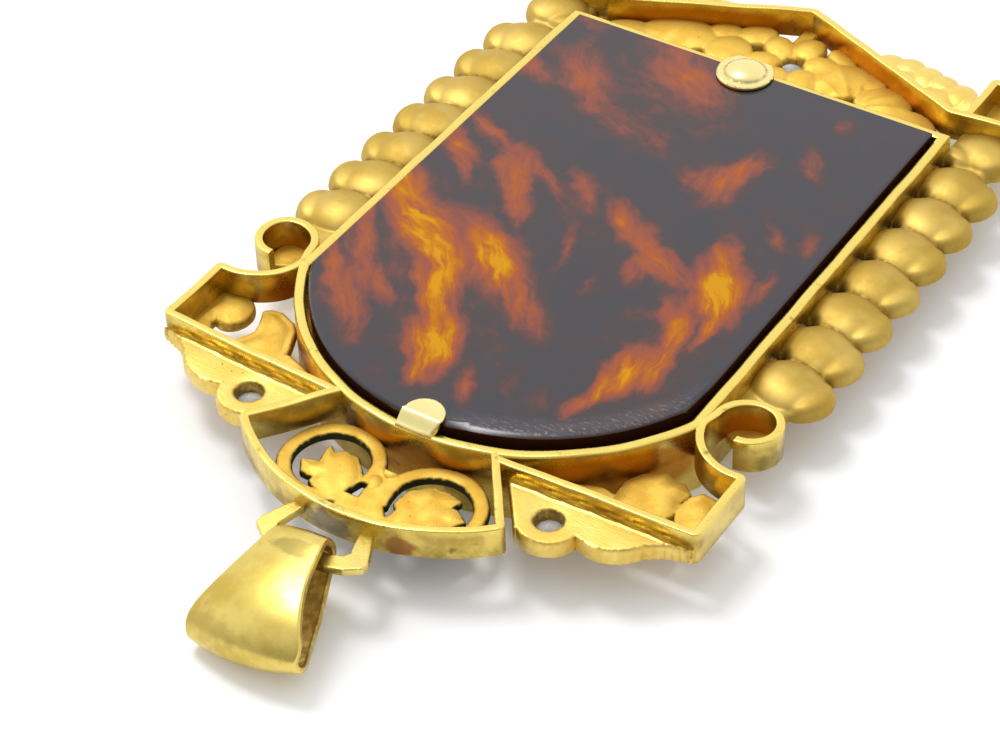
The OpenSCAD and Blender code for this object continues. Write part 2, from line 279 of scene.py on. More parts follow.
# Golds: what differs from one finish to the next
golds = {
    # The walls' deep olive, which their sides take in clouds, is partly painted shade
    "wallGold": {
        "Bright": (0.88, 0.68, 0.17, 1), "Deep": (0.44, 0.31, 0.065, 1), "ShadeAndDirt": (0.13, 0.08, 0.03, 1),
        "Satin": 0.3, "Clouds": 0.6, "Grain": (5, 5, 22), "Brush": 0.6, "Pits": 0.3, "bump": 0.35,
    },
    "scrollGold": {
        "Bright": (0.86, 0.61, 0.13, 1), "Deep": (0.78, 0.5, 0.08, 1), "ShadeAndDirt": (0.06, 0.065, 0.025, 1),
        "Satin": 0.62, "Clouds": 0.9, "Grain": (9, 9, 9), "Brush": 0.8, "Pits": 0.5, "bump": 0.7,
    },
    # The leaves' gold is paler and brighter than the walls' gold: a painted highlight on the leaf plates
    "leafGold": {
        "Bright": (0.88, 0.68, 0.2, 1), "Deep": (0.82, 0.56, 0.12, 1), "ShadeAndDirt": (0.07, 0.055, 0.015, 1),
        "Satin": 0.36, "Clouds": 0.6, "Grain": (1.5, 16, 10), "Brush": 0.9, "Pits": 1.0, "bump": 0.5,
    },
    "garlandGold": {
        "Bright": (0.63, 0.455, 0.125, 1), "Deep": (0.52, 0.35, 0.07, 1), "ShadeAndDirt": (0.12, 0.04, 0.008, 1),
        "Satin": 0.56, "Clouds": 0.5, "Grain": (6, 6, 6), "Brush": 0.3, "Pits": 0.2, "bump": 0.3,
    },
    "bailGold": {
        "Bright": (0.85, 0.68, 0.2, 1), "Deep": (0.58, 0.42, 0.085, 1), "ShadeAndDirt": (0.26, 0.13, 0.025, 1),
        "Satin": 0.27, "Clouds": 0.45, "Grain": (12, 3, 12), "Brush": 0.3, "Pits": 0.15, "bump": 0.25,
    },
    # The tabs' gold is paler than the rest: a painted highlight
    "tabGold": {
        "Bright": (0.9, 0.77, 0.34, 1), "Deep": (0.78, 0.62, 0.2, 1), "ShadeAndDirt": (0.12, 0.08, 0.03, 1),
        "Satin": 0.3, "Clouds": 0.8, "Grain": (3, 12, 12), "Brush": 0.6, "Pits": 0.2, "bump": 0.3,
    },
    "stapleGold": {
        "Bright": (0.84, 0.68, 0.22, 1), "Deep": (0.74, 0.55, 0.13, 1), "ShadeAndDirt": (0.12, 0.08, 0.03, 1),
        "Satin": 0.34, "Clouds": 0.8, "Grain": (3, 14, 14), "Brush": 0.8, "Pits": 0.5, "bump": 0.4,
    },
}
# Painted reflection: the deep warm tone that the walls inside the cells get from mirroring each other,
# painted into their colour: place, half sizes and turn
paintedReflectionCells = [
    ((0, -15.8, 2.4), (7.3, 4.3, 1.85), 0), ((9.8, -10.0, 2.4), (7.2, 2.4, 1.9), 40),
    ((13.9, -4.4, 2.5), (1.9, 1.7, 1.9), 0), ((5.6, 26.1, 2.8), (7.2, 1.3, 1.5), -23.6),
]
paintedReflectionGold = (0.44, 0.175, 0.012, 1)
# Real stains and painted shade, each a ragged oval
stainsAndShade = {  # ragged ovals: place, half sizes, strength and colour
    "wallGold": [
        ((-0.15, -20.5, 3.3), (1.9, 0.6, 1.3), 0.8, (0.13, 0.125, 0.12, 1)),
        ((3.6, -20.1, 3.1), (1.1, 0.7, 0.8), 0.7, (0.26, 0.06, 0.02, 1)),
        # Painted reflection of the darker surroundings: olive on the volute's outer face
        ((15.4, -4.9, 2.9), (1.0, 1.6, 1.2), 0.6, (0.12, 0.1, 0.03, 1)),
        ((-3.6, -13.9, 2.9), (1.3, 0.9, 1.2), 0.7, (0.09, 0.035, 0.01, 1)),
        ((9.9, -10.6, 2.4), (1.2, 0.9, 0.8), 0.7, (0.08, 0.035, 0.01, 1)),
    ],
    "bailGold": [
        # Painted shade, both: olive where the band turns away over the staple, and over its lower end near
        # the floor
        ((0.1, -23.7, 4.25), (1.7, 0.7, 0.9), 0.6, (0.28, 0.22, 0.06, 1)),
        ((-0.8, -28.2, 1.9), (4.0, 1.3, 1.3), 0.5, (0.42, 0.31, 0.08, 1)),
    ],
}
bumpDistance = 0.00003  # metres


# Each gold has the shared finish. Over its colour lie the painted reflection of the cells' walls in each
# other, and the stains and painted shade.
def makeGold(name):
    material, tree, shader = newMaterial(name, Metallic=1.0)
    place = placeInMm(tree)
    finish = addNode(tree, "ShaderNodeGroup", node_tree=goldFinish)
    feed(tree, finish.inputs, {"Place": place, "Wear": marked(tree, "wear"), "ShadeAndGrime": marked(tree, "shadeAndGrime")})
    for label, value in golds[name].items():
        if label in finish.inputs:
            finish.inputs[label].default_value = value
    colour = finish.outputs["Colour"]
    ragged = noise(tree, place, 1.6, 4)
    # Painted reflection: the walls inside the cells turn deep warm
    if name == "wallGold":
        for (x, y, z), size, turn in paintedReflectionCells:
            for side in (-1, 1) if x else (1,):
                mask = spotMask(tree, place, (side * x, y, z), size, math.radians(side * turn))
                colour = blend(tree, spread(tree, mask, 0.02, 0.35, 0.0, 0.92), colour, paintedReflectionGold)
    for at, size, strength, tint in stainsAndShade.get(name, []):
        mask = spotMask(tree, place, at, size)
        edge = calc(tree, "ADD", mask, calc(tree, "MULTIPLY_ADD", ragged, 0.9, -0.45))
        amount = calc(tree, "MULTIPLY", spread(tree, edge, 0.1, 0.5), strength)
        colour = blend(tree, amount, colour, tint)
    bump = addNode(tree, "ShaderNodeBump", {
        "Strength": golds[name]["bump"], "Distance": bumpDistance, "Height": finish.outputs["Height"],
    })
    rough = finish.outputs["Roughness"]
    feed(tree, shader, {"Base Color": colour, "Roughness": rough, "Normal": bump.outputs[0]})
    return material


materials = {name: makeGold(name) for name in golds}
print("golds mixed")


# Meshes. A shape in the making is a dictionary of points in plan millimetres, blocks of faces, and the marks
# for wear and for painted shade with grime that the finish reads.
def makeShape(points, faces, wear=0.0, shadeAndGrime=0.0):
    count = len(points)
    return {"points": points, "faces": faces,
            "wear": np.broadcast_to(wear, count).astype(float),
            "shadeAndGrime": np.broadcast_to(shadeAndGrime, count).astype(float)}


def joinShapes(shapes):
    starts = np.cumsum([0] + [len(part["points"]) for part in shapes])
    faces = [block + start for part, start in zip(shapes, starts) for block in part["faces"]]
    return {"faces": faces, **{key: np.concatenate([part[key] for part in shapes])
                               for key in ("points", "wear", "shadeAndGrime")}}


# The mirror image on the other side of the middle line, with its faces turned round again
def mirrorShape(part):
    faces = [block[:, ::-1] for block in part["faces"]]
    return {**part, "points": part["points"] * (-1, 1, 1), "faces": faces}


def bothSides(part):
    return joinShapes([part, mirrorShape(part)])


# Six times the volume inside is the sum of the triple products of the faces' triangles: where it is negative,
# the faces look inwards and are turned round
def outward(part):
    points, volume = part["points"], 0.0
    for block in part["faces"]:
        for k in range(1, block.shape[1] - 1):
            turned = np.cross(points[block[:, k]], points[block[:, k + 1]])
            volume += np.einsum("ij,ij->", points[block[:, 0]], turned)
    if volume < 0:
        part["faces"] = [block[:, ::-1] for block in part["faces"]]
    return part


# Quads between neighbouring rings and columns of a grid of points
def gridFaces(rings, columns, closedRings, closedColumns=True):
    i = np.arange(rings if closedRings else rings - 1)[:, None]
    j = np.arange(columns if closedColumns else columns - 1)[None, :]
    nextI, nextJ = (i + 1) % rings, (j + 1) % columns
    corners = [i * columns + j, nextI * columns + j, nextI * columns + nextJ, i * columns + nextJ]
    return np.stack(corners, -1).reshape(-1, 4)


# The frame's own zero lies on the middle of the whole length, the plan's zero 0.6 mm inside the arch's end.
# The bezel's sizes are to the middle of its wall.
bezel = {
    "half": 12.0, "archRadius": 13.2, "archEnd": -0.6, "farY": 34.7, "wall": 0.6, "top": 4.3, "worn": 0.15,
    "lip": 0.45, "ledgeLow": 2.3, "ledgeHigh": 2.95, "ledgeWidth": 0.7, "plateGap": 0.18, "chamfer": 0.05,
    "corner": 2.6,
    "steps": (110, 60, 60),  # points along the arch, a side and the far end
}
archY = bezel["archRadius"] + bezel["archEnd"]
wallTop = bezel["top"]
plateFar = bezel["farY"] - bezel["wall"] / 2 - bezel["plateGap"]
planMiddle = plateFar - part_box("back_plate")[1][1] * 1000


# Hand work is never quite straight: every point moves by sums of slow sines of its own place, so that pieces
# that meet still meet
handWork = {"sideways": 0.02, "upwards": 0.02}


def handMade(points):
    x, y, z = points.T
    side, up = handWork["sideways"], handWork["upwards"]
    moved = points.copy()
    moved[:, 0] += side * (np.sin(0.9 * y + 0.4 * x) + 0.5 * np.sin(2.3 * y - 1.1 * x + 1.0)) * np.cos(x / 11)
    moved[:, 1] += side * (np.sin(0.8 * x + 0.5) + 0.5 * np.sin(2.1 * x + 0.9 * y)) * np.cos((y - 13) / 19)
    lift = np.sin(0.7 * x + 1.3 * y) + 0.6 * np.sin(1.9 * x - 0.8 * y)
    moved[:, 2] += up * lift * (z / wallTop) * (z < wallTop + 0.01)
    return moved


# Takes a shape's points from plan millimetres to the frame's metres and puts it into the scene as a piece
def makePiece(name, part, material, node="frame", body="pendant", sharp=40, loose=False):
    points = part["points"] if loose else handMade(part["points"])
    mesh = bpy.data.meshes.new(name)
    mesh.from_pydata(((points - (0, planMiddle, 0)) * 0.001).tolist(), [],
                     [face for block in part["faces"] for face in block.tolist()])
    mesh.validate()
    mesh.shade_smooth()
    mesh.set_sharp_from_angle(angle=math.radians(sharp))
    for mark in ("wear", "shadeAndGrime"):
        layer = mesh.attributes.new(mark, "FLOAT", "POINT")
        layer.data.foreach_set("value", part[mark].astype(np.float32))
    item = addObject(name, mesh)
    mesh.materials.append(material)
    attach(item, body)
    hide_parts(node)


# Paths and profiles
def arc(x, y, radius, start, end, count):
    angles = np.radians(np.linspace(start, end, count))
    return np.stack([x + radius * np.cos(angles), y + radius * np.sin(angles)], 1)


# Points at even steps along a path, each one the mean of a short window, which softens the corners
def softPath(points, window, step=0.1, closed=False):
    points = np.asarray(points, float)
    if closed:
        points = np.vstack([points, points[:1]])
    lengths = np.concatenate([[0], np.cumsum(np.hypot(*np.diff(points, axis=0).T))])
    count = max(int(lengths[-1] / step), 8)
    along = np.linspace(0, lengths[-1], count + 1)
    if closed:
        along = along[:-1]
    at = along[:, None] + np.linspace(-window / 2, window / 2, 7)
    at = at % lengths[-1] if closed else np.clip(at, 0, lengths[-1])
    return np.stack([np.interp(at, lengths, points[:, k]).mean(1) for k in (0, 1)], 1)


# Carries a closed profile of (offset, height) along an open plan path: an offset runs along the mitre of the
# stretches before and after a point, so the wall keeps its thickness round corners
def carry(path, profile):
    ahead = np.roll(path, -1, 0) - path
    behind = path - np.roll(path, 1, 0)
    ahead[-1], behind[0] = behind[-1], ahead[0]
    sides = [np.stack([-way[:, 1], way[:, 0]], 1) / np.linalg.norm(way, axis=1)[:, None]
             for way in (behind, ahead)]
    mitre = sides[0] + sides[1]
    mitre *= 2 / np.maximum((mitre * mitre).sum(1, keepdims=True), 0.5)
    points = np.empty((len(path), len(profile), 3))
    points[..., :2] = path[:, None] + mitre[:, None] * profile[:, 0, None]
    points[..., 2] = profile[:, 1]
    cap = np.arange(len(profile))[None]
    faces = [gridFaces(len(path), len(profile), False), cap, cap[:, ::-1] + (len(path) - 1) * len(profile)]
    return points.reshape(-1, 3), faces


# Walls of the cells: strips of metal that stand on edge
strip = {"width": 0.46, "worn": 0.09, "rows": 5, "softened": 0.3}


# Straight sides in rows, and a top that is worn round
def stripProfile(low, high):
    half, worn, rows = strip["width"] / 2, strip["worn"], strip["rows"]
    sides = np.linspace(low, high - worn, rows)
    top = arc(half - worn, high - worn, worn, 0, 90, 4)[1:]
    return np.vstack([np.stack([np.full(rows, half), sides], 1), top, top[::-1] * (-1, 1),
                      np.stack([np.full(rows, -half), sides[::-1]], 1)])


# Wear on the rounded tops, and painted shade in the corner where a wall meets the level of its plate
def wallMarks(points, corner):
    z = points[:, 2]
    wear = np.clip((z - wallTop + 0.14) / 0.12, 0, 1)
    shadeAndGrime = 0.55 * np.exp(-((z - corner) / 0.22) ** 2)
    return wear, shadeAndGrime


# A wall: that profile carried along a softened path
def wallShape(path, depth, corner):
    points, faces = carry(softPath(path, strip["softened"]), stripProfile(wallTop - depth, wallTop))
    return outward(makeShape(points, faces, *wallMarks(points, corner)))


# Plan fields: signed distances in mm, positive inside. A disc's is its radius less the distance to its
# centre, and a slab's is the distance to the nearest of its four sides.
def disc(x, y, cx, cy, radius):
    return radius - np.hypot(x - cx, y - cy)


def slab(x, y, left, right, near, far):
    return np.minimum(np.minimum(x - left, right - x), np.minimum(y - near, far - y))


# Places along an oval's own axes
def ownAxes(x, y, cx, cy, turn):
    c, s = math.cos(math.radians(turn)), math.sin(math.radians(turn))
    return (x - cx) * c + (y - cy) * s, (y - cy) * c - (x - cx) * s


# Nearly the distance to an oval: its relative radius, scaled by how fast that grows
def oval(x, y, cx, cy, a, b, turn):
    u, v = ownAxes(x, y, cx, cy, turn)
    radius = np.hypot(u / a, v / b)
    growth = np.maximum(np.hypot(u / a ** 2, v / b ** 2), 1e-6)
    return np.minimum(radius * (1 - radius) / growth, min(a, b))


# Distance to a polygon's nearest side, positive where an odd number of sides lies to the right of the point
def polygon(x, y, corners):
    corners = np.asarray(corners, float)
    away, inside = np.full(np.shape(x), 99.0), np.zeros(np.shape(x), bool)
    for (ax, ay), (bx, by) in zip(corners, np.roll(corners, -1, 0)):
        t = np.clip(((x - ax) * (bx - ax) + (y - ay) * (by - ay)) / ((bx - ax) ** 2 + (by - ay) ** 2), 0, 1)
        away = np.minimum(away, np.hypot(x - ax - t * (bx - ax), y - ay - t * (by - ay)))
        if ay != by:
            inside ^= ((ay > y) != (by > y)) & (x < (bx - ax) * (y - ay) / (by - ay) + ax)
    return np.where(inside, away, -away)


# The larger of two fields, with the step between them filled by a curve of the given size
def softJoin(first, second, size):
    share = np.clip(0.5 + 0.5 * (first - second) / size, 0, 1)
    return second + (first - second) * share + size * share * (1 - share)


# Height of a round-edged mound over an oval
def mound(x, y, cx, cy, a, b, turn, height, power=0.7):
    u, v = ownAxes(x, y, cx, cy, turn)
    return height * np.clip(1 - (u / a) ** 2 - (v / b) ** 2, 0, 1) ** power


# The highest of several mounds at each place
def highest(x, y, mounds):
    return np.maximum.reduce([mound(x, y, *row) for row in mounds])


# A leaf cut from sheet: a polygon grown a little, which rounds its corners
def cutLeaf(x, y, corners):
    growth = 0.12
    return polygon(x, y, corners) + growth


# Height of a leaf that swells from its edge: a share of the way in, rising ever less steeply
def swollen(x, y, corners, reach, rise):
    share = np.clip(polygon(x, y, corners) / reach, 0, 1)
    return rise * share * (2 - share)


# Slope of a field along x and along y
def slope(field, x, y):
    reach = 0.01
    return ((field(x + reach, y) - field(x - reach, y)) / (2 * reach),
            (field(x, y + reach) - field(x, y - reach)) / (2 * reach))


# Plan of a pierced plate: a grid whose points near the outline slide onto it along the field's slope. A
# square that has lost one corner stays as a triangle.
def planFaces(field, box, step):
    x, y = np.meshgrid(np.arange(box[0], box[1], step), np.arange(box[2], box[3], step), indexing="ij")
    inside = field(x, y)
    near = np.abs(inside) < 0.56 * step
    nx, ny = x[near], y[near]
    for _ in range(4):
        slopeX, slopeY = slope(field, nx, ny)
        pull = field(nx, ny) / np.maximum(slopeX ** 2 + slopeY ** 2, 0.3)
        nx, ny = nx - pull * slopeX, ny - pull * slopeY
    x[near], y[near] = nx, ny
    index = np.arange(x.size).reshape(x.shape)
    corners = np.stack([index[:-1, :-1], index[1:, :-1], index[1:, 1:], index[:-1, 1:]], -1).reshape(-1, 4)
    good, x, y = (near | (inside > 0)).ravel(), x.ravel(), y.ravel()
    kept = good[corners].sum(1)
    quads, threes = corners[kept == 4], corners[kept == 3]
    order = (np.argmin(good[threes], 1)[:, None] + np.arange(1, 4)) % 4
    threes = np.take_along_axis(threes, order, 1)
    quads, threes = (block[field(x[block].mean(1), y[block].mean(1)) > 0] for block in (quads, threes))
    used, renumbered = np.unique(np.concatenate([quads.ravel(), threes.ravel()]), return_inverse=True)
    quads, threes = np.split(renumbered.ravel(), [quads.size])
    return x[used], y[used], quads.reshape(-1, 4), threes.reshape(-1, 3)


sideRows = 4  # rows of faces down a plate's side


# A pierced plate on such a plan. Its top is a height over the plan, rounded by a quarter circle at the rim,
# its side bulges by a half wave of sine, and its underside is flat or a height over the plan too.
def relief(field, height, low, box, step, rim=0.12, bulge=0.03, edgeShadeAndGrime=0.0):
    px, py, quads, threes = planFaces(field, box, step)
    count = len(px)
    depth = np.clip(field(px, py), 0, None)
    short = np.clip(rim - depth, 0, rim)
    top = height(px, py) - (rim - np.sqrt(np.maximum(rim ** 2 - short ** 2, 0)))
    lows = low(px, py) if callable(low) else np.full(count, low)

    starts = np.concatenate([quads.ravel(), threes.ravel()])
    ends = np.concatenate([np.roll(quads, -1, 1).ravel(), np.roll(threes, -1, 1).ravel()])
    rimEdges = ~np.isin(starts * count + ends, ends * count + starts)
    rimPoints, numbers = np.unique(np.concatenate([starts[rimEdges], ends[rimEdges]]), return_inverse=True)
    starts, ends = np.split(numbers.ravel(), 2)
    rx, ry = px[rimPoints], py[rimPoints]
    slopeX, slopeY = slope(field, rx, ry)
    share = np.linspace(0, 1, sideRows + 1)[1:-1, None]
    puffed = bulge * np.sin(np.pi * share)
    fall = (lows - top)[rimPoints] * share
    sides = np.stack([rx - slopeX * puffed, ry - slopeY * puffed, top[rimPoints] + fall], -1)
    points = np.concatenate([np.stack([px, py, top], 1), np.stack([px, py, lows], 1), sides.reshape(-1, 3)])
    rows = 2 * count + np.arange(sides[..., 0].size).reshape(sideRows - 1, -1)
    levels = [rimPoints, *rows, rimPoints + count]
    faces = [quads, threes, quads[:, ::-1] + count, threes[:, ::-1] + count]
    faces += [np.stack([b[starts], b[ends], a[ends], a[starts]], 1) for a, b in zip(levels[:-1], levels[1:])]
    # Painted shade on the plate's sides and on its top near the rim
    shadeAndGrime = np.full(len(points), edgeShadeAndGrime)
    shadeAndGrime[:count] = min(edgeShadeAndGrime, 0.9) * np.exp(-depth / 0.05)
    return makeShape(points, [block for block in faces if len(block)], 0.0, shadeAndGrime)


# The outline of the bezel moved outwards by d: an arc about (0, archY), then straight sides and a straight
# far end, with the same number of points for every d
def tombstone(d):
    half, radius, far = bezel["half"] + d, bezel["archRadius"] + d, bezel["farY"] + d
    archSteps, sideSteps, endSteps = bezel["steps"]
    lean = math.degrees(math.acos(half / radius))
    curve = arc(0, archY, radius, 180 + lean, 360 - lean, archSteps)
    side = np.linspace(curve[-1, 1], far, sideSteps + 2)[1:-1]
    end = np.linspace(half, -half, endSteps)
    return np.vstack([curve, np.stack([np.full(sideSteps, half), side], 1),
                      np.stack([end, np.full(endSteps, far)], 1),
                      np.stack([np.full(sideSteps, -half), side[::-1]], 1)])


# A plan outline lifted to a level
def atHeight(outline, z):
    return np.column_stack([outline, np.full(len(outline), z)])


# Bezel: rings of that outline, one for each point of the wall's profile, which runs up the outside, over the
# worn top, down to the ledge under the plate, and back round the lip of the hidden front
def makeBezel():
    half, worn, lip, chamfer = bezel["wall"] / 2, bezel["worn"], bezel["lip"], bezel["chamfer"]
    ledgeHigh, ledgeLow = bezel["ledgeHigh"], bezel["ledgeLow"]
    outer = [(half, z) for z in np.linspace(chamfer, wallTop - worn, 9)]
    top = arc(half - worn, wallTop - worn, worn, 0, 90, 4)[1:]
    inner = [(-half, z) for z in (wallTop - 0.45, wallTop - 0.9, ledgeHigh)]
    ledge = -half - bezel["ledgeWidth"]
    below = [(ledge, ledgeHigh), (ledge, ledgeLow), (-half, ledgeLow), (-half, lip), (-half - lip, lip),
             (-half - lip, chamfer), (-half - lip + chamfer, 0.0), (half - chamfer, 0.0)]
    profile = np.vstack([outer, top, top[::-1] * (-1, 1), inner, below])
    rings = np.stack([atHeight(tombstone(d), z) for d, z in profile], 1)
    points, faces = rings.reshape(-1, 3), [gridFaces(*rings.shape[:2], True)]
    part = outward(makeShape(points, faces, *wallMarks(points, bezel["corner"])))
    makePiece("bezelWall", part, materials["wallGold"])


makeBezel()
print("bezel made")


# Tortoiseshell plate, and the rings that it shares with the plaque
plate = {
    "low": 2.98, "bevel": 0.12, "bevelDrop": 0.14, "dome": 0.03, "wornBevel": 0.34, "wornInset": 0.22,
    "wornX": (0.5, 2.5), "wornY": (9.5, 3.0),  # where the wear starts, and the way over which it grows
    "middle": 4,  # from the arch's centre to the point where the rings meet
    "innerRings": 18,
}


# Rings of the tombstone outline from the foot of the side over a bevel, then inwards to one point in the
# middle, rising as a parabola. Inset and bevel may differ from point to point of the outline.
def platePoints(edge, low, high, bevel, drop, rise, inset=0.0):
    outline, inner = tombstone(edge), tombstone(edge - 1)
    inset, bevel = (np.broadcast_to(value, len(outline)) for value in (inset, bevel))
    rows = [(inset, low), (inset, high - drop), (inset + 0.45 * bevel, high - 0.45 * drop),
            (inset + bevel, high), (inset + bevel + 0.15, high)]
    base = np.stack([atHeight(outline + away[:, None] * (inner - outline), z) for away, z in rows], 1)
    last = base[:, -1]
    centre = np.array([0, archY + plate["middle"], high + rise])
    share = np.linspace(0, 1, plate["innerRings"] + 1)[1:-1]
    inward = last[:, None] + (centre - last[:, None]) * share[None, :, None]
    inward[..., 2] = high + rise * (1 - (1 - share) ** 2)
    grid = np.concatenate([base, inward], 1)
    count, columns = grid.shape[:2]
    points = np.vstack([grid.reshape(-1, 3), [centre], [[centre[0], centre[1], low]]])
    starts = np.arange(count) * columns
    following = np.roll(starts, -1)
    pole, foot = count * columns, count * columns + 1
    tip = np.stack([starts + columns - 1, following + columns - 1, np.full(count, pole)], 1)
    sole = np.stack([following, starts, np.full(count, foot)], 1)
    return points, [gridFaces(count, columns, True, False), tip, sole]


# Where the plate's bevel is worn wide: on the right of the arch
def wornShare(x, y):
    (startX, overX), (startY, overY) = plate["wornX"], plate["wornY"]
    return np.clip((x - startX) / overX, 0, 1) * np.clip((startY - y) / overY, 0, 1)


# Streaks of the shell in plan mm: start, end, half width and strength. Each one is a soft oval spot, and the
# sum of them all gives the colour, from dark through red and orange to yellow.
streaks = [
    # right: the yellow fleck and what hangs round it
    (7.0, 18.3, 9.2, 14.3, 1.15, 0.8), (7.7, 17.0, 8.8, 14.9, 0.75, 0.5), (6.6, 20.3, 7.6, 18.2, 0.6, 0.4),
    (9.0, 14.4, 9.4, 12.2, 0.35, 0.45), (9.7, 19.0, 10.3, 16.2, 0.35, 0.3), (7.7, 22.3, 9.4, 20.5, 0.4, 0.28),
    # the big flame from the left side
    (-12.5, 17.1, -10.4, 15.0, 0.85, 0.5), (-11.5, 15.4, -6.0, 11.3, 1.15, 0.72),
    (-9.2, 13.4, -6.4, 11.4, 0.7, 0.42),
    (-6.2, 11.4, -3.7, 7.6, 1.0, 0.7), (-4.9, 10.6, -4.3, 8.4, 0.6, 0.3), (-4.2, 8.0, -2.6, 5.9, 0.5, 0.35),
    # the flame beside it, redder towards the middle
    (-6.3, 14.6, -1.7, 12.5, 1.0, 0.45), (-5.1, 13.7, -2.5, 10.8, 1.0, 0.6),
    (-3.0, 12.3, -1.5, 10.6, 0.7, 0.3), (-2.5, 12.1, 1.6, 8.4, 0.95, 0.45),
    # the lower fleck
    (-2.9, 6.7, -1.4, 3.0, 1.0, 0.9), (-2.6, 5.9, -1.7, 3.8, 0.5, 0.35), (-2.3, 3.2, -1.7, 1.8, 0.5, 0.4),
    (-4.0, 6.0, -2.8, 3.2, 0.55, 0.28),
    # left, towards the arch
    (-11.3, 11.7, -8.8, 8.0, 0.6, 0.42), (-8.8, 8.4, -6.3, 6.3, 0.5, 0.36),
    (-11.7, 9.2, -10.0, 6.7, 0.55, 0.36), (-10.0, 7.6, -6.6, 3.4, 0.8, 0.46),
    (-11.9, 13.6, -11.2, 11.4, 0.4, 0.3),
    # the column on the right
    (6.9, 14.2, 8.0, 11.5, 0.6, 0.4), (8.0, 12.6, 8.4, 8.6, 0.55, 0.5), (7.3, 9.6, 7.3, 6.4, 0.75, 0.8),
    (8.6, 10.0, 8.9, 7.6, 0.5, 0.45), (7.0, 6.6, 6.4, 3.9, 0.5, 0.55), (9.0, 13.6, 9.3, 11.4, 0.3, 0.35),
    # the chain across the middle
    (-3.5, 21.2, -1.2, 18.7, 0.5, 0.3), (0.0, 19.6, 2.5, 17.1, 0.65, 0.52),
    (2.2, 19.1, 3.8, 16.6, 0.42, 0.36), (3.2, 17.1, 5.8, 15.6, 0.75, 0.52),
    (3.2, 16.0, 3.9, 14.2, 0.55, 0.4), (-1.2, 16.8, 0.0, 13.4, 0.3, 0.28), (1.9, 13.8, 2.2, 12.0, 0.25, 0.22),
    # upper left
    (-11.7, 22.9, -7.9, 21.2, 0.5, 0.4), (-7.3, 21.0, -5.8, 17.9, 0.8, 0.55),
    (-5.8, 18.3, -3.7, 15.6, 0.5, 0.42), (-6.2, 20.9, -3.7, 18.8, 0.4, 0.32),
    (-11.8, 20.9, -9.0, 18.8, 0.75, 0.55), (-9.6, 18.8, -8.5, 17.0, 0.35, 0.32),
    # red clouds at the far end
    (-5.4, 35.0, 0.0, 29.6, 1.9, 0.26), (-4.6, 32.5, -0.8, 30.8, 1.0, 0.22),
    (-12.5, 29.6, -9.6, 27.1, 0.65, 0.42), (-9.6, 30.4, -6.2, 27.1, 1.25, 0.36),
    (-6.0, 27.0, -0.8, 25.2, 1.0, 0.18), (-11.7, 34.6, -9.6, 33.5, 0.6, 0.22),
    (4.8, 27.8, 4.0, 24.6, 0.75, 0.4), (3.9, 25.6, 3.6, 22.6, 1.3, 0.42), (1.2, 24.5, 3.3, 24.0, 0.7, 0.18),
    (6.5, 29.5, 7.9, 27.2, 0.55, 0.3), (6.9, 32.5, 7.4, 31.8, 0.65, 0.22), (10.3, 22.5, 10.6, 20.3, 0.7, 0.2),
    # near the arch
    (0.4, 4.2, 1.4, 1.7, 0.45, 0.38), (2.5, 5.8, 3.3, 3.3, 0.4, 0.15), (4.6, 5.0, 5.4, 3.3, 0.5, 0.2),
    # wide hazes
    (-10.5, 15.5, -1.5, 5.0, 4.0, 0.17), (7.6, 19.5, 8.0, 4.5, 1.9, 0.17),
    (-10.0, 32.5, 0.0, 27.5, 3.2, 0.13), (-9.0, 21.5, 5.0, 15.5, 2.2, 0.11),
]
shellColours = [  # heat, colour
    (0.0, (0.018, 0.016, 0.026, 1)), (0.06, (0.035, 0.014, 0.015, 1)), (0.18, (0.1, 0.017, 0.009, 1)),
    (0.42, (0.21, 0.03, 0.005, 1)), (0.75, (0.34, 0.068, 0.003, 1)), (1.08, (0.47, 0.15, 0.002, 1)),
    (1.4, (0.6, 0.27, 0.002, 1)),
]
shell = {
    "strength": 1.32,
    "hottest": 1.5,  # the heat at the ramp's end
    "drifts": ((0.28, 1.5), (0.85, 0.7), (2.6, 0.14)),  # scale and mm
    "grainTurns": (-82, -55, -25),  # degrees: the ways that the streaks run, each with fibres of its own
    "fibres": (0.35, 2.1, 1.0),
    "scuffedSpot": ((2.6, 6.0), (7.0, 5.0, 1)),
    # The side's colour is painted shade
    "scuffed": (0.3, 0.27, 0.3, 1), "side": (0.03, 0.008, 0.003, 1),
}


# The heat of each streak is added to the sum of those that run its way. Each sum is torn by fibres along that
# way, and a faint mottling joins them.
def shellHeat(tree, flat):
    place, turns = flat, shell["grainTurns"]
    for scale, amount in shell["drifts"]:
        drift = vectorCalc(tree, "SUBTRACT", noise(tree, place, scale, 2, output="Color"), (0.5, 0.5, 0.5))
        place = vectorCalc(tree, "ADD", place, vectorCalc(tree, "MULTIPLY", drift, (amount, amount, 0.0)))
    heats = [0.0] * len(turns)
    for startX, startY, endX, endY, width, strength in streaks:
        length = math.hypot(endX - startX, endY - startY)
        centre = ((startX + endX) / 2, (startY + endY) / 2 - planMiddle, 0)
        way = math.atan2(endY - startY, endX - startX)
        mask = spotMask(tree, place, centre, (0.74 * length + 0.5 * width, 1.7 * width, 1), way)
        nearest = min(range(len(turns)), key=lambda k: abs(math.degrees(way) - turns[k]))
        heats[nearest] = calc(tree, "MULTIPLY_ADD", mask, shell["strength"] * strength, heats[nearest])
    heat = spread(tree, noise(tree, flat, 0.55, 5, 0.6), 0.42, 0.75, 0.0, 0.16)
    for summed, turn in zip(heats, turns):
        turned = addNode(tree, "ShaderNodeVectorRotate", {"Vector": place, "Angle": -math.radians(turn)},
                         rotation_type="Z_AXIS").outputs[0]
        fibres = noise(tree, vectorCalc(tree, "MULTIPLY", turned, shell["fibres"]), 1, 5, 0.6)
        heat = calc(tree, "MULTIPLY_ADD", summed, spread(tree, fibres, 0.3, 0.7, 0.62, 1.28), heat)
    return calc(tree, "MULTIPLY", heat, spread(tree, heat, 0.05, 0.45, 0.4, 1.1))


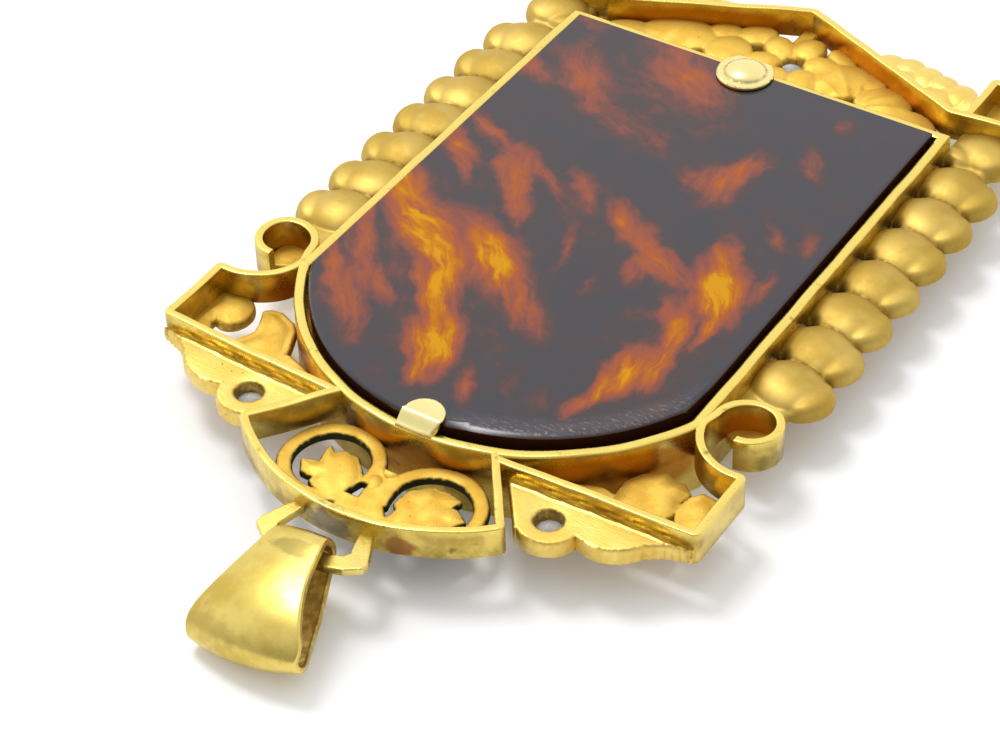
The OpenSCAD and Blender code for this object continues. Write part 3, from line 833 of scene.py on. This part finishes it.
# The heat picks a colour from the ramp. Scratched places turn pale and rough, and hot places shine less.
def makeTortoiseshell():
    material, tree, shader = newMaterial("tortoiseshell", IOR=1.62)
    flat = vectorCalc(tree, "MULTIPLY", placeInMm(tree), (1.0, 1.0, 0.0))
    heat = shellHeat(tree, flat)
    ramp = addNode(tree, "ShaderNodeValToRGB", {"Fac": calc(tree, "MULTIPLY", heat, 1 / shell["hottest"])})
    while len(ramp.color_ramp.elements) < len(shellColours):
        ramp.color_ramp.elements.new(0.5)
    for element, (at, colour) in zip(ramp.color_ramp.elements, shellColours):
        element.position, element.color = at / shell["hottest"], colour
    # the scratched bevel, fine scuffs on the face, and a side painted dark and dull as shade
    (scuffX, scuffY), scuffSize = shell["scuffedSpot"]
    scratches = noise(tree, vectorCalc(tree, "MULTIPLY", flat, (1.0, 2.6, 1.0)), 2.6, 7, 0.75)
    side = marked(tree, "shadeAndGrime")
    worn = calc(tree, "MULTIPLY", marked(tree, "wear"), spread(tree, scratches, 0.5, 0.68, 0.08, 0.7))
    scuffs = calc(tree, "MULTIPLY", spread(tree, scratches, 0.66, 0.78, 0.0, 0.2),
                  spotMask(tree, flat, (scuffX, scuffY - planMiddle, 0), scuffSize))
    pale = calc(tree, "ADD", worn, scuffs, clamp=True)
    colour = blend(tree, side, blend(tree, pale, ramp.outputs[0], shell["scuffed"]), shell["side"])
    shine = spread(tree, heat, 0.3, 1.2, 0.5, 0.08)
    shine = calc(tree, "MULTIPLY", shine, calc(tree, "MULTIPLY_ADD", side, -0.6, 1.0))
    rough = calc(tree, "MULTIPLY_ADD", pale, 0.3, 0.17)
    feed(tree, shader, {"Base Color": colour, "Roughness": rough, "Specular IOR Level": shine})
    return material


# Bevel and inset grow with the worn share at each point of the outline. The marks say where the bevel is worn
# and where the side is, which is painted dark as shade.
def makePlate():
    high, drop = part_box("back_plate")[1][2] * 1000 - plate["dome"], plate["bevelDrop"]
    worn = wornShare(*tombstone(0).T)
    bevel, inset = plate["bevel"] + plate["wornBevel"] * worn, plate["wornInset"] * worn
    points, faces = platePoints(-bezel["wall"] / 2 - bezel["plateGap"], plate["low"], high, bevel, drop,
                                plate["dome"], inset)
    part = outward(makeShape(points, faces))
    x, y, z = points.T
    part["wear"] = (z > high - 0.6 * drop) * (z < high + 1e-6) * wornShare(x, y)
    # The side, painted dark as shade
    part["shadeAndGrime"] = (z < high - 0.9 * drop).astype(float)
    makePiece("backPlate", part, makeTortoiseshell(), "back_plate", sharp=14, loose=True)


makePlate()
print("plate made")


# Plaque on the hidden front: the same rings upside down, as a low plain dome
plaque = {
    "edgeZ": 0.5, "frontZ": 0.1, "gap": 0.1, "backGap": 0.05, "bevel": 0.6, "bevelDrop": 0.25,
    "dark": (0.62, 0.34, 0.2, 1), "pale": (0.85, 0.68, 0.52, 1),
}


def makePlaque():
    material, tree, shader = newMaterial("carvedShell", Roughness=0.35)
    layers = noise(tree, vectorCalc(tree, "MULTIPLY", placeInMm(tree), (0.2, 0.6, 1.0)), 1, 4)
    feed(tree, shader, {"Base Color": blend(tree, layers, plaque["dark"], plaque["pale"])})
    edge, back = -bezel["wall"] / 2 - bezel["lip"] - plaque["gap"], -bezel["ledgeLow"] + plaque["backGap"]
    points, faces = platePoints(edge, back, -plaque["edgeZ"], plaque["bevel"], plaque["bevelDrop"],
                                plaque["edgeZ"] - plaque["frontZ"])
    points[:, 2] *= -1
    makePiece("cameoPlaque", outward(makeShape(points, faces)), material, "cameo_panel")


makePlaque()
print("plaque made")


# Fan cell at the bail's end
fan = {
    "centreY": 3.85, "radius": 11.05, "half": 7.65, "root": (4.6, 0.1), "depth": 1.75, "corner": 2.75,
    "plateTop": 2.7, "plateLow": 2.3, "plateBox": (-8, 8, -7.6, 0.4),
    "rings": [(-2.95, -3.3, 2.02, 2.82), (3.15, -3.6, 2.15, 2.95)],  # x, y, inner and outer radius
    "ringRise": 0.06,
    "bridge": [(-0.9, -2.5), (0.9, -2.5), (1.35, -7.3), (-1.35, -7.3)],
    "leaves": [
        [(-4.29, -3.91), (-3.43, -3.61), (-3.54, -3.07), (-3.63, -2.45), (-3.18, -2.78), (-2.76, -2.38),
         (-1.94, -2.48), (-1.16, -3.32), (-0.9, -4.16), (-0.9, -5.3), (-1.9, -5.6), (-2.6, -5.2),
         (-3.07, -4.95), (-3.11, -4.61), (-3.86, -4.58)],
        [(1.6, -5.9), (1.62, -5.0), (1.5, -4.2), (1.66, -3.1), (2.5, -2.35), (3.36, -2.25), (4.13, -2.42),
         (3.96, -3.02), (4.41, -3.05), (5.05, -3.5), (4.7, -4.05), (4.5, -5.0), (3.8, -5.9)],
    ],
    "slots": [[(-1.1, -4.75), (-0.8, -3.75), (-0.42, -3.85), (-0.42, -4.7)],
              [(1.12, -4.7), (1.4, -4.2), (1.72, -4.6), (1.6, -5.2)]],
    "leafReach": 0.8, "leafRise": 0.14,
    "beads": [(0.1, -2.55, 0.5, 0.36, 0, 0.22), (-0.25, -3.5, 0.42, 0.6, 20, 0.14)],  # as mound takes them
}


# From one root along an arc of the outer circle to the other root
def fanPath():
    lean = math.degrees(math.asin(fan["half"] / fan["radius"]))
    x, y = fan["root"]
    return np.vstack([[-x, y], arc(0, fan["centreY"], fan["radius"], 270 - lean, 270 + lean, 60), [x, y]])


# The wall follows the cell's three sides. The scrolls are two rings joined by the bridge and the cut leaves,
# less the slots and what lies outside the wall, and rise over the rings, the leaves and the beads.
def makeFan():
    path, base = fanPath(), fan["plateTop"]
    makePiece("fanWall", wallShape(path, fan["depth"], fan["corner"]), materials["wallGold"])

    def field(x, y):
        bands = [np.minimum(disc(x, y, ringX, ringY, outer), -disc(x, y, ringX, ringY, inner))
                 for ringX, ringY, inner, outer in fan["rings"]]
        solid = softJoin(np.maximum(*bands), polygon(x, y, fan["bridge"]), 0.3)
        for corners in fan["leaves"]:
            solid = softJoin(solid, cutLeaf(x, y, corners), 0.08)
        for corners in fan["slots"]:
            solid = np.minimum(solid, -polygon(x, y, corners))
        return np.minimum(solid, polygon(x, y, path))

    def height(x, y):
        top = base + highest(x, y, fan["beads"])
        for ringX, ringY, inner, outer in fan["rings"]:
            across = (np.hypot(x - ringX, y - ringY) - (inner + outer) / 2) / (0.62 * (outer - inner))
            top = np.maximum(top, base + fan["ringRise"] * np.clip(1 - across ** 2, 0, 1))
        ripple = 0.02 * np.sin(4 * x + 3 * y)
        for corners in fan["leaves"]:
            top = np.maximum(top, base + swollen(x, y, corners, fan["leafReach"], fan["leafRise"]) + ripple)
        return top

    part = relief(field, height, fan["plateLow"], fan["plateBox"], step=0.065, rim=0.06, edgeShadeAndGrime=2.5)
    makePiece("fanScrolls", part, materials["scrollGold"])


makeFan()
print("fan made")


# Wings with their volutes, leaf scrolls and scalloped leaf plates. The sheets of leaf scrolls differ: two cut
# leaves on the right, a broad leaf and a curl on the left. Each of their leaves has its corners, how high its
# edge stands over the plate and how far it swells.
wing = {
    "root": (4.75, -0.2), "tip": (15.85, 0.3), "elbow": (15.85, 4.8), "depth": 1.9, "corner": 2.55,
    "bends": [  # as arc takes them
        (15.3, 7.9, 3.1, -95, -170, 20), (14.3, 8.2, 1.8, 180, 90, 16), (14.3, 8.55, 1.45, 75, -95, 24),
    ],
    "plateTop": 2.5, "plateLow": 2.05, "plateBox": (6.5, 16.0, -0.3, 10.6),
    "right": [
        ([(10.35, 2.2), (10.3, 3.2), (10.78, 4.1), (11.7, 4.75), (12.3, 4.42), (12.8, 4.5), (13.36, 4.05),
          (13.2, 3.3), (13.35, 2.6), (13.15, 1.9), (13.3, 0.9), (10.2, 0.5)], 0.06, 0.24),
        ([(13.6, 2.5), (13.45, 3.2), (13.6, 3.85), (14.0, 4.35), (14.65, 4.3), (15.3, 3.9), (15.6, 2.0),
          (15.6, 0.9), (13.7, 0.9), (13.9, 1.8)], 0.0, 0.1),
    ],
    "left": [
        ([(12.65, 1.95), (12.4, 2.35), (12.2, 2.87), (12.31, 3.4), (12.58, 4.0), (12.8, 4.42), (12.5, 4.73),
          (11.96, 4.8), (11.4, 4.57), (10.95, 4.42), (10.5, 3.9), (9.9, 2.5), (9.6, 0.6), (13.4, 0.6)],
         0.0, 0.2),
        ([(14.9, 4.78), (15.4, 4.75), (15.75, 4.3), (15.75, 0.6), (14.6, 0.6), (14.65, 1.9), (14.85, 2.3),
          (14.85, 2.7), (14.3, 3.4), (14.2, 4.5)], 0.1, 0.2),
    ],
    "leafReach": 0.9,
    "curl": (14.3, 3.68, 1.07, 1.22, 0), "curlRise": 0.36,
    "strip": [(6.8, 0.2), (7.2, 1.2), (8.3, 1.85), (9.5, 2.25), (10.5, 2.2), (10.9, 0.3)],
    "volute": (13.9, 8.9, 1.5),
    "stone": (9.0, -1.95), "hole": 0.75, "stoneLobe": 1.68, "middleLobe": (11.6, 0.2, 2.6),
    "leafEdge": [(5.15, 0.3), (7.85, -3.3), (9.0, -3.1), (10.5, -2.1), (13.5, -1.35), (14.6, -0.55),
                 (15.9, -0.1), (15.9, 0.3)],
    "rootCut": (0.776, 0.63),  # the way across the leaf plate's cut end, inwards
    "toothDepth": 0.03, "toothRate": 18, "teethFrom": 12.5,
    "leafTop": 3.6, "leafLow": 2.62, "leafBox": (4.6, 16.1, -3.9, 0.5),
    "ridge": (0.62, 0.05, 0.05),  # how far past the wall, half width and height
    "trough": (0.42, 0.08, 0.1),  # how far past the wall, its slope's width and depth
    "dish": (0.05, 0.3), "tipDrop": (0.1, 13.2, 2.5),  # depth, where it starts and over what way
}


# How far a place lies outside the middle of the wing's outer wall
def pastWall(x, y):
    (ax, ay), (bx, by) = wing["root"], wing["tip"]
    return ((bx - ax) * (ay - y) + (by - ay) * (x - ax)) / math.hypot(bx - ax, by - ay)


# One sheet of leaf scrolls: its leaves, a curl, a strip along the bezel and a half disc in the volute, less
# the bezel itself. Each leaf swells from its edge, and the curl is a mound.
def wingScrolls(leaves, curled):
    base = wing["plateTop"]

    def field(x, y):
        solid = softJoin(cutLeaf(x, y, leaves[0][0]), cutLeaf(x, y, leaves[1][0]), 0.02)
        if curled:
            solid = softJoin(solid, oval(x, y, *wing["curl"]), 0.1)
        solid = np.maximum(solid, polygon(x, y, wing["strip"]))
        voluteX = wing["volute"][0]
        solid = np.maximum(solid, np.minimum(disc(x, y, *wing["volute"]), y - 8.2 - 0.5 * (voluteX - x)))
        return np.minimum(solid, -disc(x, y, 0, archY, bezel["archRadius"] + 0.1))

    def height(x, y):
        top = np.full(np.shape(x), base)
        for corners, edge, rise in leaves:
            swell = swollen(x, y, corners, wing["leafReach"], rise)
            top = np.maximum(top, base + (edge + swell + 0.02 * np.sin(3.1 * x + 2 * y)))
        if curled:
            top = softJoin(top, base + mound(x, y, *wing["curl"], wing["curlRise"]), 0.12)
        return top

    return relief(field, height, wing["plateLow"], wing["plateBox"], step=0.08, rim=0.07, edgeShadeAndGrime=0.3)


# The wall bends from root to tip and elbow and along three arcs. The leaf plate outside it is two lobes and a
# scalloped edge with fine teeth, less the stone's hole, and has a stepped line beside the wall: a shallow
# trough, then a thin ridge.
def makeWings():
    corners = [wing["root"], wing["tip"], wing["elbow"]]
    path = np.vstack([corners, *(arc(*bend) for bend in wing["bends"])])
    walls = bothSides(wallShape(path, wing["depth"], wing["corner"]))
    makePiece("wingWalls", walls, materials["wallGold"])
    part = joinShapes([wingScrolls(wing["right"], False), mirrorShape(wingScrolls(wing["left"], True))])
    makePiece("wingScrolls", part, materials["scrollGold"])
    (stoneX, stoneY), (cutX, cutY) = wing["stone"], wing["rootCut"]
    ridgeAt, ridgeHalf, ridgeRise = wing["ridge"]
    troughTo, troughSlope, troughDepth = wing["trough"]
    dishDepth, dishReach = wing["dish"]
    tipDepth, tipFrom, tipOver = wing["tipDrop"]

    def field(x, y):
        solid = np.maximum(disc(x, y, stoneX, stoneY, wing["stoneLobe"]), disc(x, y, *wing["middleLobe"]))
        solid = np.maximum(solid, polygon(x, y, wing["leafEdge"]))
        teeth = wing["toothDepth"] * np.sin(wing["toothRate"] * x)
        solid = solid + teeth * np.clip(x - wing["teethFrom"], 0, 1)
        solid = np.minimum(solid, (x - wing["leafEdge"][0][0]) * cutX + y * cutY)
        solid = np.minimum(solid, 0.25 - y)
        return np.minimum(solid, -disc(x, y, stoneX, stoneY, wing["hole"]))

    def height(x, y):
        away = pastWall(x, y)
        ridge = ridgeRise * np.exp(-((away - ridgeAt) / ridgeHalf) ** 2)
        step = ridge - troughDepth * np.clip((troughTo - away) / troughSlope, 0, 1)
        dish = -dishDepth * np.exp(-(np.hypot(x - stoneX, y - stoneY) - wing["hole"]) / dishReach)
        tipDrop = -tipDepth * np.clip((x - tipFrom) / tipOver, 0, 1)
        return wing["leafTop"] + step + dish + tipDrop

    part = relief(field, height, wing["leafLow"], wing["leafBox"], step=0.07, rim=0.07, bulge=0.04,
                  edgeShadeAndGrime=0.12)
    x, y, z = part["points"].T
    # Painted shade with solder: a dark line along the trough beside the wall, then a dark ring round the
    # stone's hole
    part["shadeAndGrime"] += 0.45 * np.exp(-((pastWall(x, y) - troughTo) / 0.07) ** 2) * (z > 3)
    around = np.hypot(x - stoneX, y - stoneY) - wing["hole"]
    part["shadeAndGrime"] += 0.35 * np.exp(-(around / 0.12) ** 2)
    makePiece("wingLeaves", bothSides(part), materials["leafGold"])


makeWings()
print("wings made")


# Garlands: rows of gadroon leaves, each a main mound with a lower lobe outside it
garland = {
    "inner": 12.0, "outer": 15.0, "near": 9.9, "far": 37.5, "low": 2.5, "base": 3.1, "drop": 0.12,
    "first": 13.2, "pitch": 3.17, "rows": 7, "box": (11.9, 17.0, 9.7, 37.7),
    "leafX": 14.8, "leafSize": (1.74, 1.72), "leafTurns": (4, -6),
    "leafBack": 0.25, "lobeBack": 0.3, "calmFrom": 33.7, "calmOver": 0.7, "creasePast": 1.6,
    # half sizes, turn, height and power
    "mainX": 13.95, "main": (2.1, 1.85, -14, 0.74, 0.75),
    "lobeX": 15.55, "lobe": (1.1, 1.5, -14, 0.45, 0.65),
    "pitX": 12.5, "pitSize": (0.26, 0.3), "pitPast": 1.68,
    "endNear": 34.2, "endLeaf": (14.1, 35.75, 1.85, 1.7, 0),
    "endMounds": [(14.2, 35.9, 2.0, 1.6, -20, 0.6), (12.9, 34.9, 1.2, 0.9, 0, 0.4)],
}


# The outline is a strip joined softly to one oval for each leaf and to the end leaf, less a pit beside each
# leaf. The top is the highest of the leaves' mounds, which gives way to the end leaf's two mounds.
def makeGarlands():
    places = garland["first"] + garland["pitch"] * np.arange(garland["rows"])
    inner, outer, far = garland["inner"], garland["outer"], garland["far"]
    low, leafTurns = garland["base"] - garland["drop"], garland["leafTurns"]

    def field(x, y):
        solid = slab(x, y, inner, outer, garland["near"], far)
        for k, place in enumerate(places):
            leaf = oval(x, y, garland["leafX"], place - garland["leafBack"], *garland["leafSize"],
                        leafTurns[k % 2])
            solid = softJoin(solid, leaf, 0.05)
        end = slab(x, y, inner, outer, garland["endNear"], far)
        solid = np.maximum(solid, softJoin(end, oval(x, y, *garland["endLeaf"]), 0.3))
        for place in places:
            pit = oval(x, y, garland["pitX"], place + garland["pitPast"], *garland["pitSize"], 0)
            solid = np.minimum(solid, -pit)
        return solid

    def height(x, y):
        top = np.full(np.shape(x), low)
        for place in places:
            main = mound(x, y, garland["mainX"], place, *garland["main"])
            lobe = mound(x, y, garland["lobeX"], place - garland["lobeBack"], *garland["lobe"])
            top = np.maximum(top, low + softJoin(main, lobe, 0.11))
        calm = np.clip((y - garland["calmFrom"]) / garland["calmOver"], 0, 1)
        end = softJoin(*(mound(x, y, *row) for row in garland["endMounds"]), 0.1)
        return top * (1 - calm) + (garland["base"] + end) * calm

    part = relief(field, height, garland["low"], garland["box"], step=0.085, rim=0.42, edgeShadeAndGrime=0.1)
    x, y = part["points"].T[:2]
    # Painted shade: dark round each pit beside the wall
    for place in places:
        away = np.hypot(x - garland["pitX"], y - place - garland["pitPast"])
        part["shadeAndGrime"] += 0.8 * np.exp(-(away / 0.42) ** 2)
        # painted shade in the crease between one leaf and the next
        crease = y - place - garland["creasePast"] + 0.12 * (x - 14)
        part["shadeAndGrime"] += 0.35 * np.exp(-(crease / 0.1) ** 2) * (x < 16)
    makePiece("garlands", bothSides(part), materials["garlandGold"])


makeGarlands()
print("garlands made")


# Gable at the far end, its ears, rosette and leaves
gable = {
    "foot": (11.2, 37.2), "top": (0, 42.1), "end": (16.0, 37.6), "depth": 1.8, "corner": 2.95,
    "earX": 12.2, "earNear": 37.4, "earFar": 41.0, "earCorner": 2.6,
    "plateTop": 2.9, "plateLow": 2.3, "plateBox": (-16.2, 16.2, 34.5, 42.3),
    "stone": (0.5, 38.3), "hole": 0.55,
    "petals": 6, "petalAway": 1.8, "petalStart": 20, "petal": (1.15, 0.95), "petalRise": 0.26,
    "leaves": [  # as mound takes them
        (-2.6, 39.9, 1.3, 1.0, 30, 0.2), (-4.4, 39.2, 1.2, 0.9, 30, 0.22), (-3.4, 37.7, 1.5, 1.5, 20, 0.28),
        (-6.6, 37.7, 2.5, 1.6, 16, 0.3), (-9.4, 36.5, 1.7, 1.1, 20, 0.18), (2.9, 40.2, 1.1, 0.8, -30, 0.2),
        (3.8, 38.3, 1.7, 1.9, -30, 0.28), (5.4, 38.9, 1.1, 0.9, -25, 0.2), (6.9, 37.5, 1.8, 1.6, -18, 0.28),
        (9.3, 36.6, 1.5, 1.1, -20, 0.2),
    ],
    "besideBezel": 1.9, "rib": (-0.5, 0.5, 38, 42.2),
    "fluteCentre": (5.6, 36.2), "fluteDepth": 0.07, "fluteRate": 7, "flutesFrom": 2.2, "flutesOver": 0.6,
    "outerTop": 3.1, "outerLow": 2.5, "outerBox": (2.9, 12.4, 37, 42.4),
    "outer": [  # x, y, radius and height
        (5.6, 40.9, 1.0, 0.3), (6.8, 41.1, 1.0, 0.36), (8.0, 40.7, 1.15, 0.34), (9.2, 40.5, 1.0, 0.38),
        (10.4, 40.1, 1.15, 0.34), (11.5, 39.7, 0.9, 0.3), (7.0, 39.9, 1.1, 0.3), (9.4, 39.3, 1.2, 0.3),
    ],
}


# The walls are a strip along the roof and one round each ear. Inside, ovals for the petals and the leaves
# join a strip along the bezel and a rib under the top, cut off at the roof, and each one is a mound. Outside,
# discs join a polygon between the roof and the ear.
def makeGable():
    (footX, footY), (topX, topY), (endX, endY) = gable["foot"], gable["top"], gable["end"]
    earX, earNear, earFar = gable["earX"], gable["earNear"], gable["earFar"]
    roofWall = wallShape([(-endX, endY), (-footX, footY), (topX, topY), (footX, footY), (endX, endY)],
                         gable["depth"], gable["corner"])
    ear = wallShape([(earX, earNear), (earX, earFar), (endX, earFar), (endX, earNear)], gable["depth"],
                    gable["earCorner"])
    makePiece("gableWalls", joinShapes([roofWall, bothSides(ear)]), materials["wallGold"])

    stoneX, stoneY = gable["stone"]
    away, farY, (fluteX, fluteY) = gable["petalAway"], bezel["farY"], gable["fluteCentre"]
    turns = np.radians(gable["petalStart"] + 360 / gable["petals"] * np.arange(gable["petals"]))
    leaves = [(stoneX + away * math.cos(a), stoneY + away * math.sin(a), *gable["petal"], math.degrees(a),
               gable["petalRise"]) for a in turns] + gable["leaves"]
    roof = [(-footX - 0.5, 34), (-footX - 0.2, footY), (topX, topY), (footX + 0.2, footY), (footX + 0.5, 34)]

    def field(x, y):
        solid = slab(x, y, -bezel["half"], bezel["half"], farY, farY + gable["besideBezel"])
        for row in leaves:
            solid = softJoin(solid, oval(x, y, *row[:5]), 0.1)
        solid = np.maximum(solid, slab(x, y, *gable["rib"]))
        solid = np.minimum(solid, polygon(x, y, roof))
        solid = np.maximum(solid, slab(np.abs(x), y, earX, endX, earNear, earFar))
        return np.minimum(solid, -disc(x, y, stoneX, stoneY, gable["hole"]))

    def height(x, y):
        top = gable["plateTop"] + highest(x, y, leaves)
        turn = np.arctan2(y - fluteY, x - fluteX)
        share = np.clip((np.abs(x) - gable["flutesFrom"]) / gable["flutesOver"], 0, 1)
        flutes = gable["fluteDepth"] * np.abs(np.sin(gable["fluteRate"] * turn)) * share
        return np.where(np.abs(x) < earX, top - flutes * (x > 0), top)

    part = relief(field, height, gable["plateLow"], gable["plateBox"], step=0.09, edgeShadeAndGrime=0.3)
    makePiece("gableScrolls", part, materials["scrollGold"])

    lumps = [(cx, cy, radius, radius, 0, rise) for cx, cy, radius, rise in gable["outer"]]
    sheet = [(4.4, 40.1), (6, 41), (10, 40.5), (earX, 39.5), (earX, earNear), (footX, footY)]
    outside = [(3, 40.8), (3, 45), (earX, 45), (earX, earNear), (footX, footY)]

    def outerField(x, y):
        solid = polygon(x, y, sheet)
        for row in gable["outer"]:
            solid = np.maximum(solid, disc(x, y, *row[:3]))
        return np.minimum(solid, polygon(x, y, outside))

    def outerHeight(x, y):
        return gable["outerTop"] + highest(x, y, lumps)

    part = relief(outerField, outerHeight, gable["outerLow"], gable["outerBox"], step=0.09, edgeShadeAndGrime=0.2)
    makePiece("gableLeaves", bothSides(part), materials["leafGold"])


makeGable()
print("gable made")


# Staple that carries the bail, and the two tabs that hold the plate
staple = {
    "outer": [(2.3, -7.0), (2.8, -8.0), (3.2, -8.85), (3.15, -9.3), (2.4, -9.85), (1.5, -10.15),
              (0.0, -10.25)],
    "inner": [(-1.65, -6.5), (-1.65, -7.2), (-1.85, -7.9), (-2.12, -8.75), (-2.05, -9.1), (-1.92, -9.3),
              (1.25, -9.27), (1.85, -9.0), (2.05, -8.68), (1.83, -8.1), (1.65, -7.4), (1.65, -6.5)],
    "low": 3.06, "top": 3.44, "box": (-3.4, 3.4, -10.6, -6.7),
}


# A flat plate: the outline, which is the same on both sides, less the opening
def makeStaple():
    outline = staple["outer"] + [(-x, y) for x, y in reversed(staple["outer"][:-1])]

    def field(x, y):
        return np.minimum(polygon(x, y, outline), -polygon(x, y, staple["inner"]))

    def height(x, y):
        return np.full(np.shape(x), staple["top"])

    part = relief(field, height, staple["low"], staple["box"], step=0.055, rim=0.06, bulge=0.01)
    makePiece("staple", part, materials["stapleGold"])


tabs = {
    "near": {"at": (0.45, 0.02), "radius": 1.12, "foot": (-0.73, 1.37), "footY": 0.86,
             "box": (-1.3, 2.0, -1.1, 1.6), "edge": 0.12, "riseFrom": -0.9, "riseOver": 0.85,
             "lowFrom": -0.55, "lowOver": 0.5},
    "far": {"at": (-0.08, 33.7), "radius": 1.66, "dome": (-0.05, 33.68, 1.18), "domeRise": 0.4,
            "box": (-2.3, 2.1, 31.7, 35.6), "pastWall": 0.28, "lowFrom": 34.42, "lowOver": 0.08},
    "thick": 0.2, "sunk": 0.02, "clear": 0.04,
}


# Both tabs start on the wall's top and reach over the plate. The near one is a disc joined to its foot and
# goes up a slope, and the far one is a disc that lies level under its dome.
def makeTabs():
    near, far, thick, edge = tabs["near"], tabs["far"], tabs["thick"], tabs["near"]["edge"]
    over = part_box("back_plate")[1][2] * 1000 + tabs["clear"]
    footY, (domeX, domeY, domeRadius) = near["footY"], far["dome"]

    def nearField(x, y):
        foot = slab(x, y, *near["foot"], -footY, near["at"][1])
        sheet = softJoin(disc(x, y, *near["at"], near["radius"]), foot, 0.03)
        return np.minimum(sheet, y + footY - 0.04 * x * x)

    # The underside: sunk into the wall's top, then over the plate
    def underside(share):
        return wallTop - tabs["sunk"] + (over - wallTop + tabs["sunk"]) * np.clip(share, 0, 1)

    def nearLow(x, y):
        return underside((y - near["lowFrom"]) / near["lowOver"])

    def nearHeight(x, y):
        rise = np.clip((y - near["riseFrom"]) / near["riseOver"], 0, 1)
        return wallTop + edge + (over + thick - wallTop - edge) * rise * rise * (3 - 2 * rise)

    def farField(x, y):
        return np.minimum(disc(x, y, *far["at"], far["radius"]), bezel["farY"] + far["pastWall"] - y)

    def farLow(x, y):
        return underside((far["lowFrom"] - y) / far["lowOver"])

    def farHeight(x, y):
        return over + thick + mound(x, y, domeX, domeY, domeRadius, domeRadius, 0, far["domeRise"], 0.62)

    part = joinShapes([
        relief(nearField, nearHeight, nearLow, near["box"], step=0.05, rim=0.06, bulge=0.0),
        relief(farField, farHeight, farLow, far["box"], step=0.06, rim=0.08, bulge=0.0),
    ])
    x, y = part["points"].T[:2]
    away = np.hypot(x - domeX, y - domeY)
    # Worn all over for the paler colour of a painted highlight, and a dark ring round the dome
    part["wear"][:] = 1.0
    part["shadeAndGrime"] = 0.45 * np.exp(-((away - domeRadius - 0.02) / 0.07) ** 2)
    makePiece("tabs", part, materials["tabGold"], loose=True)


makeStaple()
makeTabs()
print("staple and tabs made")


# Bail: a band round four circles in side view, domed across, wider towards its outer end
bail = {
    # y, z and radius
    "circles": [(-9.75, 3.25, 1.15), (-12.8, 2.4, 1.6), (-14.65, 1.64, 1.46), (-12.3, 1.65, 1.3)],
    # y and half width
    "edge": [(-9.0, 1.4), (-10.4, 1.72), (-12.0, 2.1), (-13.4, 2.6), (-14.5, 3.1), (-15.3, 3.4),
             (-15.9, 3.2)],
    "thick": 0.38, "crown": 0.52, "wide": 3.4, "shift": -0.15, "turn": 1.0, "tilt": 9.0,
    "smoothing": (0.5, 2.8), "softFrom": -10.3, "softOver": 1.8, "cornerSize": 0.07, "cornerFrom": 0.94,
}


# The side view: the outer tangents of neighbouring circles, joined by arcs about each circle's centre. Away
# from the staple it is smoothed over a longer window.
def bailLoop():
    circles = np.array(bail["circles"])
    nextOnes = np.roll(circles, -1, 0)
    way = nextOnes[:, :2] - circles[:, :2]
    normals = np.degrees(np.arctan2(way[:, 1], way[:, 0])
                         - np.arccos((circles[:, 2] - nextOnes[:, 2]) / np.linalg.norm(way, axis=1)))
    pieces = [arc(y, z, radius, start, start + (end - start) % 360, 30)
              for (y, z, radius), start, end in zip(circles, np.roll(normals, 1), normals)]
    crisp, soft = (softPath(np.vstack(pieces), window, step=0.09, closed=True)
                   for window in bail["smoothing"])
    share = np.clip((bail["softFrom"] - crisp[:, :1]) / bail["softOver"], 0, 1)
    return crisp + (soft - crisp) * share * share * (3 - 2 * share)


# The band's skin: at each point of the loop it goes across the outside and back across the inside. It stands
# in from the loop by a crown that grows with the square of the way across, and the edges are rounded.
def makeBail():
    loop = bailLoop()
    way = np.roll(loop, -1, 0) - np.roll(loop, 1, 0)
    way /= np.linalg.norm(way, axis=1)[:, None]
    normal = np.stack([way[:, 1], -way[:, 0]], 1)
    half = np.interp(-loop[:, 0], [-y for y, _ in bail["edge"]], [w for _, w in bail["edge"]])
    half = np.convolve(np.concatenate([half[-8:], half, half[:8]]), np.ones(17) / 17, "valid")
    cornerFrom = bail["cornerFrom"]
    across = np.concatenate([np.linspace(-1, -cornerFrom, 5), np.linspace(-0.9, 0.9, 33),
                             np.linspace(cornerFrom, 1, 5)])
    skin = np.concatenate([across, across[::-1]])
    outside = np.arange(len(skin)) < len(across)
    crown = bail["crown"] * (half[:, None] * skin / bail["wide"]) ** 2
    edge = np.clip((np.abs(skin) - cornerFrom) / 0.06, 0, 1)
    corner = bail["cornerSize"] * (1 - np.sqrt(1 - edge ** 2))
    depth = crown + np.where(outside, corner, bail["thick"] - corner)
    points = np.empty((len(loop), len(skin), 3))
    points[..., 0] = half[:, None] * skin + bail["shift"]
    points[..., 1:] = loop[:, None] - normal[:, None] * depth[..., None]
    turn, tilt = math.radians(bail["turn"]), math.radians(-bail["tilt"])
    pivot = np.array([0, bail["circles"][0][0], bail["circles"][0][1]])
    tilted = np.array([[math.cos(tilt), 0, math.sin(tilt)], [0, 1, 0], [-math.sin(tilt), 0, math.cos(tilt)]])
    turned = np.array([[math.cos(turn), -math.sin(turn), 0], [math.sin(turn), math.cos(turn), 0], [0, 0, 1]])
    points = (points.reshape(-1, 3) - pivot) @ (turned @ tilted).T + pivot
    # The inside of the band is darkened: painted shade
    inner = np.tile(np.where(outside, 0.0, 0.45), len(loop))
    part = outward(makeShape(points, [gridFaces(len(loop), len(skin), True)], 0.0, inner))
    makePiece("bailBand", part, materials["bailGold"], "bail", body="bail", loose=True)


makeBail()
print("bail made")


# Stones: the cut stones of the frame keep their facets and get a clear material
def makeStones():
    material = newMaterial("clearStone", Base_Color=(0.8, 0.82, 0.86, 1), Roughness=0.06, IOR=1.75,
                           Transmission_Weight=0.55)[0]
    for node in ("stone_left", "stone_right", "stone_gable"):
        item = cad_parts[node]
        item.data.materials.clear()
        item.data.materials.append(material)


makeStones()
print("stones set")
